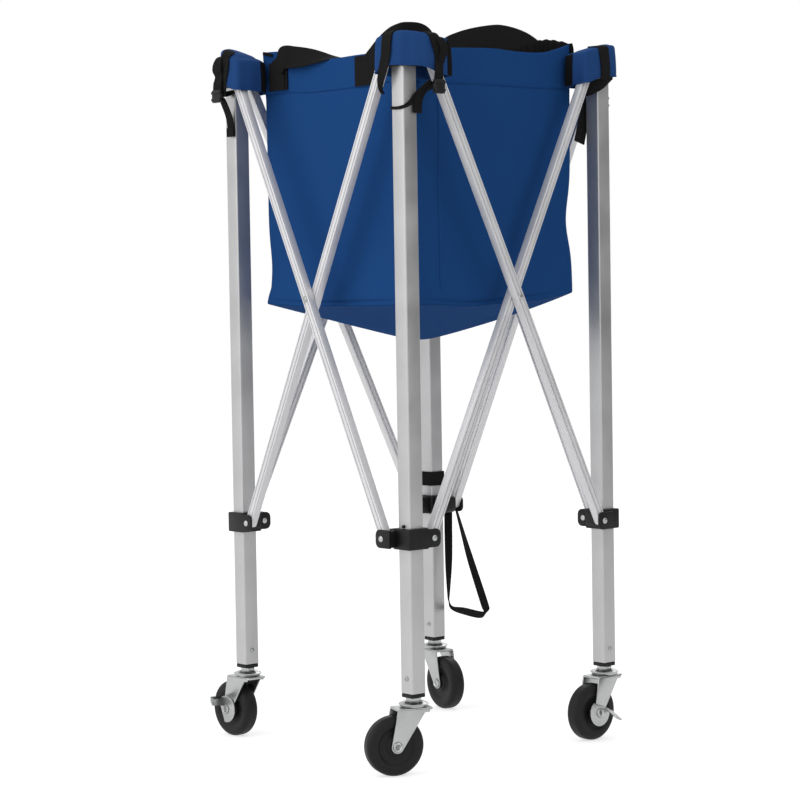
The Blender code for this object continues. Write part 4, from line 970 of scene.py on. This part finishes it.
def hood_grid(index):
    """A cloth pocket over a bracket: an L-shaped outline carried up, rounded over and closed on top.

    The hem hangs lower and the roof falls away with the distance from the leg's outer corner.
    """
    peak, fall, hem_z, drop, reach, back, edge = HOODS[index]
    full = 0.0018 if index in (1, 2) else 0.0
    outline = rounded_outline(
        [(-back, -0.0200), (-0.0120, -0.0205), (0.0060 + full, -0.0190 - full / 2),
         (0.0140 + full, -0.0155 - full), (0.0185 + full, -0.0080 - full), (0.0260, 0.0010),
         (0.0310, 0.0100), (0.0321, 0.0200), (0.0321, reach), (-0.0165, reach), (-0.0170, 0.0175),
         (-back, 0.0165)], 200, 0.0055 if index == 3 else 0.0030)
    normal = outward(outline)
    s = np.linspace(0, 2 * PI, 200, endpoint=False)

    def roof(x, y):
        """The roof's height, which falls evenly with the distance from the leg's outer corner."""
        return peak - fall * from_corner(x, y)

    x, y = outline.T
    hem = hem_z - drop * smooth_step((from_corner(x, y) - 0.010) / 0.040)
    hem = hem + 0.0009 * np.sin(3 * s + 1.7 * index)
    shoulder = roof(x, y) - edge
    wave = 0.0006 * np.sin(5 * s + index) + 0.0003 * np.sin(13 * s + 2 * index)
    rows = []
    for t in np.unique(np.concatenate([np.linspace(0, 1, 26), [0.075, 0.09, 0.105]])):
        stitch = -0.0004 * ridge(t - 0.09, 0.012)
        out = wave * (1 - 0.6 * t) + 0.0008 * math.sin(PI * t) + stitch + 0.0012 * (1 - t) ** 2
        rows.append(level(outline + normal * out[:, None], hem + (shoulder - hem) * t))
    for t in np.linspace(0, PI / 2, 8)[1:]:
        ring = outline + normal * (0.4 * wave - edge * (1 - math.cos(t)))[:, None]
        rows.append(level(ring, shoulder + edge * math.sin(t)))
    last = rows[-1]
    for t in np.linspace(0, 1, 10)[1:]:
        ring = last[:, :2] * (1 - t) + np.array([-0.001, 0.003]) * t
        height = roof(ring[:, 0], ring[:, 1]) + 0.0010 * math.sin(PI / 2 * t)
        blend = smooth_step(t / 0.3)
        rows.append(level(ring, last[:, 2] * (1 - blend) + height * blend))
    rows[-1][:, 2] = rows[-1][:, 2].mean()
    return np.array(rows)


def hood_tapes(index):
    """Black tape on the hood's open upright ends: strips of the pocket's own surface, set 1 mm out."""
    reach, back = HOODS[index][4:6]
    grid = hood_grid(index)[:33]
    outline = grid[6, :, :2]
    step = np.linalg.norm(np.roll(outline, -1, 0) - outline, axis=1).mean()
    edges = [((-0.0165, reach), 0.0100, 0.0016), ((-back, 0.0165), 0.0016, 0.0145 if index == 1 else 0.0100)]
    if index == 0:
        edges.append(((0.0321, reach), 0.0070, 0.0016))
    shells = []
    for corner, before, after in edges:
        nearest = int(np.argmin(np.linalg.norm(outline - np.array(corner), axis=1)))
        columns = np.arange(nearest - round(before / step), nearest + round(after / step) + 1) % len(outline)
        ahead = grid[:, (columns + 1) % len(outline), :2] - grid[:, columns - 1, :2]
        normal = np.stack([ahead[..., 1], -ahead[..., 0], np.zeros(ahead.shape[:2])], -1)
        normal /= np.linalg.norm(normal, axis=-1)[..., None]
        strip = grid[:, columns]
        ring = np.concatenate([strip + normal * 0.0012, (strip - normal * 0.0004)[:, ::-1]], 1)
        shells.append(capped(on_leg(ring, index)))
    part("hood_tape", LEG_NAMES[index], shells, TAPE, "leg", sharp=60)


def hem_bead(index):
    """The hood's turned hem: a narrow bead of its own cloth along the lower edge."""
    low = hood_grid(index)[0]
    away = (low - low.mean(0)) * np.array([1, 1, 0]) / 0.03
    loops = [low + 0.0009 * np.cos(t) * away + UP * (0.0010 + 0.0011 * math.sin(t))
             for t in np.linspace(0, 2 * PI, 8, endpoint=False)]
    ring = np.array(loops).transpose(1, 0, 2)
    return np.concatenate([ring, ring[:1]])


def hood(index):
    """One corner's hood: the cloth pocket, its turned hem and its tapes."""
    name = LEG_NAMES[index]
    part("hood", name, [closed(on_leg(hood_grid(index), index))], HOOD_CLOTH, "leg", "corner_hood", sharp=60,
         wall=HOOD_WALL)
    part("hood_hem", name, [closed(on_leg(hem_bead(index), index))], HOOD_CLOTH, "leg", sharp=180)
    hood_tapes(index)


# How a strap runs from the roof of a hood to its buckle, for the right and the back leg
OUTER_DROP = [(31, 21, 912.5), (34.6, 23, 904), (35.6, 25, 894), (34.4, 26, 884), (36.0, 25.4, 872),
              (36.2, 25, 862), (36.0, 25, 857)]
OUTER_WIDTHS = (15, 15, 15, 15, 14, 13, 13, 13, 13)
# For each leg its strips of webbing in the leg's own millimetres: the path, the direction of the
# width, the widths, the thickness and how many cross-sections. Then its buckle: middle and half sizes.
CORNER_STRAPS = (
    (([(-5, -2, 918.2), (-5, -12, 917.6), (-5.5, -19.6, 914.5), (-6, -22.2, 905), (-7, -22.8, 889),
       (-11, -22.6, 877), (-17, -21.5, 865), (-22.5, -19.0, 855), (-26, -15, 848), (-28, -10, 844)],
      (1, 0, 0.05), (17, 17, 17, 16.5, 16, 15, 12, 8.5, 5.5, 4.5), 1.8, 110),
     ([(8, 14, 918.0), (22, 18, 916.2), (31, 21, 912.5), (34.6, 23, 904), (35.6, 25.5, 896),
       (34.2, 27.5, 888), (35.6, 27, 879), (36.4, 25.8, 870), (36.2, 25.2, 862), (36.0, 25, 857)],
      (0, 1, 0), (15, 15, 15, 15, 14, 13, 12, 12, 13, 13), 2.0, 110),
     ([(26, 25, 911), (34.8, 28.5, 907), (38.2, 31, 900), (37.8, 33, 893), (36.2, 31, 886), (36.6, 29, 880)],
      (0, 1, 0.1), (11, 12, 12, 12, 11, 10), 2.0, 60),
     ([(-12.2, -2, 826), (-12.6, -9, 825.4), (-9, -12.6, 824.8), (0, -12.8, 824.2), (8.6, -12.8, 824.6),
       (12.6, -9.4, 826), (13.2, 0, 831), (14.0, 7, 838), (19, 14, 846), (29, 20, 852)],
      (0, 0, 1), (3.6, 3.6, 3.6, 3.6, 3.8, 4.5, 6, 8, 9, 10), 1.8, 100),
     ([(30, 19, 856), (23, 15, 849), (17, 11.5, 840), (14.6, 9.6, 830), (14.2, 8.8, 818)],
      (0, 1, -0.1), (11, 11.5, 12, 12.5, 13), 2.0, 60)),
    (([(-9, 0, 918.4), (-9, -12, 918.2), (-9.4, -19.8, 915.8), (-9.4, -22.4, 908), (-8, -23.2, 892),
       (-7.2, -22.6, 881), (-7.6, -22.0, 873)],
      (1, 0, 0.12), (17, 17, 17, 16.5, 16, 16, 17), 1.8, 90),
     ([(6, -21.5, 877), (-5, -21.6, 872), (-15, -17.6, 867), (-24, -9, 863.5), (-27, -2, 862)],
      (0, 0, 1), (4, 9, 15, 20, 20), 1.8, 60),
     ([(-2, 13.4, 862), (-4, 14.4, 850), (-7.5, 15.6, 834), (-12.5, 16.2, 815), (-19.0, 15.8, 793)],
      (1, 0, 0.2), (12, 14, 16, 17.5, 18), 1.8, 60),
     ([(8, 14, 920.6), (22, 18, 917.6)] + OUTER_DROP, (0, 1, 0), OUTER_WIDTHS, 2.0, 100),
     ([(30, 21, 853), (23, 18, 850), (15, 14, 850), (6, 13, 851), (-2, 13.4, 852)],
      (0, 0, 1), (9, 8.5, 8, 8, 8), 1.8, 80)),
    (([(-7, 0, 918.8), (-7, -12, 918.4), (-7.2, -19.8, 915.4), (-7.4, -22.4, 907), (-8, -23.2, 892),
       (-10, -22.8, 878), (-15, -19, 868), (-21, -13, 860), (-25.5, -6, 855), (-27, 1, 853)],
      (1, 0, 0.12), (18, 18, 18, 18, 18, 18, 16, 13, 10, 8), 1.8, 110),
     ([(8, 14, 919.6), (22, 18, 917.0)] + OUTER_DROP, (0, 1, 0), OUTER_WIDTHS, 2.0, 100),
     ([(30, 21, 853), (23, 18, 848), (15, 13, 846), (12.8, 6, 847), (12.8, -6, 849), (8, -12.8, 851),
       (-4, -13, 853), (-16, -12, 856)],
      (0, 0, 1), (9, 8, 7, 6, 6, 6, 6, 6), 1.8, 100)),
    (([(12, 7, 923.2), (19, 12, 921.2), (26, 17, 918.0), (31, 20.5, 913.8), (33.6, 22, 908),
       (34.4, 22.3, 902), (34.6, 21.5, 894), (34.4, 18.5, 883), (33.8, 16, 872), (33, 14, 862)],
      [(0.1, 1, tilt) for tilt in (-0.36, -0.36, -0.34, -0.28, -0.12, 0, 0, 0, 0, 0)],
      (15, 15, 15, 15, 14.5, 14.5, 14, 13, 12, 11), 1.8, 100),
     ([(30.5, 6, 914), (33.5, 6, 910.5), (36.2, 6.5, 904), (37.4, 7.6, 896), (35.0, 8.2, 888),
       (37.0, 7.8, 879), (37.4, 7.4, 870)],
      (0.1, 1, 0), (12, 15.5, 19.5, 20.5, 17.5, 19, 19.5), 2.2, 100),
     ([(32, 6, 866), (24, 2, 866), (15.4, 0, 867), (12.9, 4, 868), (12.9, 9.6, 869), (8, 12.9, 870)],
      (0, 0, 1), (9, 8, 7, 6.4, 4.5, 4), 1.8, 80),
     ([(31, 8, 860), (25, 7, 850), (18, 6, 836), (14.8, 5.4, 822), (14.2, 5.2, 810)],
      (0, 1, 0), (11, 12, 12.5, 13, 13.5), 1.8, 70),
     ([(16.0, 5.4, 821), (15.8, 5.2, 815), (15.6, 5.2, 809.4)], (0, 1, 0), (14.2, 14.4, 14.2), 1.8, 24)))
BUCKLE = ((36.6, 25, 849.5), (3.6, 8.0, 8.6))
BUCKLES = (BUCKLE, BUCKLE, BUCKLE, ((36.8, 7.4, 862), (3.6, 9.9, 8.2)))
BUCKLE_BAR = 0.0016
BUCKLE_BAR_OUT = 0.0011


def corner_straps(index):
    """The webbing at one corner, and its black plastic buckle: a rounded frame with two bars."""
    name = LEG_NAMES[index]
    strips = [ribbon(np.array(path) / 1000, across, np.array(width) / 1000, thickness / 1000, count)
              for path, across, width, thickness, count in CORNER_STRAPS[index]]
    part("corner_straps", name, [capped(on_leg(grid, index)) for grid in strips], STRAP, "leg")
    middle, half = (np.array(size) / 1000 for size in BUCKLES[index])
    grids = [rounded_block(middle - half, middle + half, 0.0022, 0.0012)]
    bar = np.array([half[0], half[1], BUCKLE_BAR])
    for share in (-0.55, 0.55):
        centre = middle + np.array([BUCKLE_BAR_OUT, 0, half[2] * share])
        grids.append(rounded_block(centre - bar, centre + bar, 0.0015, 0.0007))
    part("corner_buckle", name, [capped(on_leg(grid, index)) for grid in grids], PLASTIC, "leg")


for leg in range(4):
    hood(leg)
for leg in range(4):
    corner_straps(leg)


# Webbing

HANDLE_ARCH_WIDTH = 0.033
HANDLE_BACK_OUT = 0.0035
# Each row is a point of a handle's path in millimetres, then the direction of its width there. The
# back handle's points are given from just outside the middle of the bag's rear upper edge.
HANDLE_BACK = np.array([
    (-120, 0, -38, 1, 0, 0), (-121, 0, -6, 1, 0, 0), (-118, 1, 18, 0.85, 0, -0.5),
    (-104, 1, 34.5, 0.35, 0, -1), (-76, 2, 39.8, 0.12, 0, -1), (-43, 2, 42.5, 0, 0, -1),
    (-8, 2, 42.5, -0.03, 0, -1), (10, 1, 40.2, -0.15, 0, -1), (33, 1, 34, -0.35, 0, -1),
    (56, 0, 25, -0.5, 0, -0.9), (77, 0, 14, -0.65, 0, -0.75), (95, 0, 2, -0.9, 0, -0.4),
    (104, 0, -14, -1, 0, 0), (105, 0, -38, -1, 0, 0)])
HANDLE_FRONT = np.array([
    (-107, -149, 868, 1, 0, 0), (-107, -149.5, 884, 1, 0, 0), (-105.5, -151, 895.5, 1, 0, -0.1),
    (-97.5, -152, 902, 0.75, 0, -0.65), (-87, -154.5, 909.5, 0.15, 0, -1),
    (-70, -150.5, 908.5, 0, -0.35, -1), (-50, -146.5, 906.5, 0, -0.6, -0.8),
    (-26, -140.5, 904, 0, -0.87, -0.4), (0, -130, 900.5, 0, -1, 0), (34, -120, 887, 0, -1, 0.1),
    (70, -112, 873, 0, -0.8, 0.5), (102, -103, 867, 0, -0.3, 1), (128, -97, 874, 0.3, -0.2, 1),
    (143, -99, 890, -0.7, 0, 0.7), (149, -106, 904, -0.4, 0.3, 1), (150, -116, 914, 0, 0.3, 1),
    (150, -128, 918.5, 0, 0, 1), (145, -143, 919, 0, 0, 1), (138, -149, 917.5, -0.3, 0, 0.95),
    (123, -149.5, 913.5, -0.5, 0, 0.86), (107, -150, 904.5, -0.5, 0, 0.86), (95, -150, 896, -0.6, 0, 0.8),
    (80, -150, 884, -0.9, 0, 0.45), (70, -149, 868, -1, 0, 0)])
# The hanging loop: across the cart and up in millimetres, then how far its width lies along the strap's
# broad direction, its edge direction and upwards
CARRY_LOOP = np.array([
    (-164.0, 283.5, 1, 0, 0), (-164.5, 262, 0.97, 0.2, 0), (-164.7, 215, 0.85, 0.5, 0),
    (-166.0, 165, 0.3, 1, 0), (-165.3, 149.0, 0, 1, 0), (-156, 141.0, 0, 1, 0.2),
    (-130, 138.0, 0, 0.85, 0.5), (-103, 136.0, 0, 0.85, 0.5), (-91, 137.5, 0, 0.9, 0.2),
    (-86.5, 143.5, 0.6, 0.8, 0), (-90.5, 154, 0.9, 0.4, 0), (-117, 211.5, 0.75, 0.65, 0),
    (-131, 245, 0.45, 0.9, 0), (-146.5, 283.5, 0.15, 1, 0)])
CARRY_Y = 0.195
CARRY_DIRECTIONS = np.array([(0.656, 0.755, 0), (-0.755, 0.656, 0), (0, 0, 1.0)])


def handle(name, keys, across, widths, count, body):
    """A handle: flat webbing along a smooth path, on the body that carries it."""
    strip = capped(ribbon(keys, across, widths, count=count))
    folds_away(piece("handle_" + name, [strip], STRAP, body, stands_for=["bag_handle_" + name]))


def patches(name, spots, body):
    """The broad webbing patches that the handle's ends are sewn to: x, y, bottom and top of each, in mm."""
    shells = []
    for x, y, low, high in spots:
        keys = np.array([(x, y, low), (x, y, (low + high) / 2), (x, y, high)]) / 1000
        shells.append(capped(ribbon(keys, (1, 0, 0), PATCH_WIDTH, PATCH_THICKNESS, 24)))
    folds_away(piece("handle_patches_" + name, shells, STRAP, body))


def corner_binding(name, keys, across, width, body):
    """A black tape on one of the bag's corners, along keys in mm."""
    grid = ribbon(np.array(keys) / 1000, across, width, BINDING_THICKNESS, 40)
    folds_away(piece("corner_binding_" + name, [capped(grid)], TAPE, body))


def carry_strap():
    """The carrying strap: a webbing ring round the back leg and a hanging loop that twists on its runs."""
    keys = np.stack([CARRY_LOOP[:, 0] / 1000, np.full(len(CARRY_LOOP), CARRY_Y), CARRY_LOOP[:, 1] / 1000], 1)
    loop = ribbon(keys, CARRY_LOOP[:, 2:] @ CARRY_DIRECTIONS, CARRY_WIDTH, count=160)
    ring = square_tube(0.0134, 0.0032, 0.0113, 0.0018, 0.3205, 0.3405)
    piece("carrying_strap", [capped(loop), closed(on_leg(ring, 2))], STRAP, "back_slider",
          stands_for=["carry_strap"])


handle("back", HANDLE_BACK[:, :3] / 1000 + np.array([0, BAG_HALF + HANDLE_BACK_OUT, BAG_RIM_Z]),
       HANDLE_BACK[:, 3:], [HANDLE_WIDTH] * 4 + [HANDLE_ARCH_WIDTH] * 6 + [HANDLE_WIDTH] * 4, 120,
       "right_leg")
handle("front", HANDLE_FRONT[:, :3] / 1000, HANDLE_FRONT[:, 3:],
       [HANDLE_WIDTH] * 2 + [0.028, 0.022] + [HANDLE_WIDTH] * 20, 200, "front_leg")
patches("front", ((-107, -148.1, 868, 905), (70, -148.1, 861, 899)), "front_leg")
patches("back", ((-120, 147.8, 865, 901), (105, 147.8, 863, 899)), "right_leg")
corner_binding("left", [(-139.5, -147.4, 919.8), (-131, -148.4, 918.2), (-119, -148.6, 915.4)],
               (0, 0, 1), 0.0042, "front_leg")
corner_binding("right",
               [(145.6, 143.8, 924.0), (146.2, 144.4, 915), (146.2, 144.4, 900), (146.2, 144.4, 884)],
               (0.7, 0.7, -0.1), (0.0075, 0.0092, 0.0096, 0.0096), "right_leg")
carry_strap()

# Carried-over CAD nodes
for leg_name in LEG_NAMES:
    for slot in bpy.data.objects["top_bracket_" + leg_name].material_slots:
        slot.material = PLASTIC


# Studio

CAMERA_AT = np.array([2.331, -2.061, 0.595])
CAMERA_AZIMUTH = 49.03
CAMERA_DOWN = 2.58
CAMERA_ROLL = -0.916
FOCAL_PIXELS = 2326.0
IMAGE_PIXELS = 800.0
SENSOR_WIDTH = 36.0
LAMPS_AIM = (0, 0, 0.45)
SKY_STRENGTH = 0.62
FLOOR_GREY = 0.70
FLOOR_GLOW = 0.60
CARD_MIDDLE, CARD_WAY = np.array([2.5, 2.2]), np.array([0.66, -0.75])
CARD_HALF_WIDTH = 1.7
CARD_LOW, CARD_HIGH = 0.10, 1.75


def camera():
    """The photograph's viewpoint: its back, right and up directions are the camera's own axes."""
    a, e, r = (math.radians(x) for x in (CAMERA_AZIMUTH, CAMERA_DOWN, CAMERA_ROLL))
    back = Vector((math.sin(a) * math.cos(e), -math.cos(a) * math.cos(e), math.sin(e)))
    right = Vector((math.cos(a), math.sin(a), 0))
    up = back.cross(right)
    across = right * math.cos(r) + up * math.sin(r)
    above = up * math.cos(r) - right * math.sin(r)
    data = bpy.data.cameras.new("camera")
    data.sensor_width = SENSOR_WIDTH
    data.lens = FOCAL_PIXELS / IMAGE_PIXELS * SENSOR_WIDTH
    data.clip_end = 50
    made = linked("camera", data)
    turn = Matrix((across, above, back)).transposed()
    made.matrix_world = Matrix.Translation(Vector(CAMERA_AT + CENTRE)) @ turn.to_4x4()
    bpy.context.scene.camera = made


def lamp(name, place, size, power):
    """A soft square lamp, turned towards the middle of the object."""
    data = bpy.data.lights.new(name, "AREA")
    data.shape = "SQUARE"
    data.size = size
    data.energy = power
    made = linked(name, data)
    made.location = place
    made.rotation_euler = (Vector(LAMPS_AIM) - Vector(place)).to_track_quat("-Z", "Y").to_euler()


def stage_sheet(name, grid, material):
    """A flat sheet of the studio, through a grid of points."""
    mesh = bpy.data.meshes.new(name)
    points, faces, _ = shell(grid)
    mesh.from_pydata(points.tolist(), [], faces)
    mesh.materials.append(material)
    return linked(name, mesh)


def pale_floor():
    """A wide pale floor that keeps the object's shadow. Seen directly or in gloss it glows to white."""
    reach = np.linspace(-30, 30, 7)
    made, tree, shader = new_material("pale_floor", {
        "Base Color": (FLOOR_GREY, FLOOR_GREY, FLOOR_GREY, 1), "Roughness": 1.0, "Specular IOR Level": 0.0,
        "Emission Color": (1, 1, 1, 1)})
    set_values(shader, {"Emission Strength": calculate(tree, "MULTIPLY", seen_directly(tree), FLOOR_GLOW)})
    return stage_sheet("floor", np.stack([*np.meshgrid(reach, reach), np.zeros((7, 7))], -1), made)


def grey_card():
    """A dim upright card beyond the far corner, which the camera can't see and the frame's faces mirror."""
    made, _, _ = new_material("grey_card", {"Base Color": (0.10, 0.10, 0.105, 1), "Roughness": 1.0})
    rows = [[(*(CARD_MIDDLE + CARD_WAY * s * CARD_HALF_WIDTH), z) for s in np.linspace(-1, 1, 5)]
            for z in np.linspace(CARD_LOW, CARD_HIGH, 5)]
    card = stage_sheet("grey_card", np.array(rows), made)
    card.visible_camera = False
    card.visible_shadow = False
    return card


def seen_directly(tree):
    """1 for a ray from the camera, off gloss or through glass."""
    path = add_node(tree, "ShaderNodeLightPath").outputs
    first = calculate(tree, "MAXIMUM", path["Is Camera Ray"], path["Is Glossy Ray"])
    return calculate(tree, "MAXIMUM", first, path["Is Transmission Ray"])


def white_world():
    """Soft sky light, and plain white wherever the camera, gloss or glass looks past the object."""
    world = bpy.data.worlds.new("studio")
    bpy.context.scene.world = world
    world.use_nodes = True
    tree = world.node_tree
    tree.nodes.clear()
    sky, white = (add_node(tree, "ShaderNodeBackground", {"Color": (1, 1, 1, 1), "Strength": strength})
                  for strength in (SKY_STRENGTH, 1.0))
    mix = add_node(tree, "ShaderNodeMixShader", {
        0: seen_directly(tree), 1: sky.outputs[0], 2: white.outputs[0]})
    add_node(tree, "ShaderNodeOutputWorld", {"Surface": mix.outputs[0]})


camera()
white_world()
pale_floor()
grey_card()
lamp("key", (-0.8, -3.4, 2.2), 3.6, 54)
lamp("fill", (3.4, 0.6, 1.8), 2.5, 15)
lamp("back", (-2.0, 2.6, 2.6), 2.0, 18)
bpy.context.scene.view_settings.view_transform = "Standard"
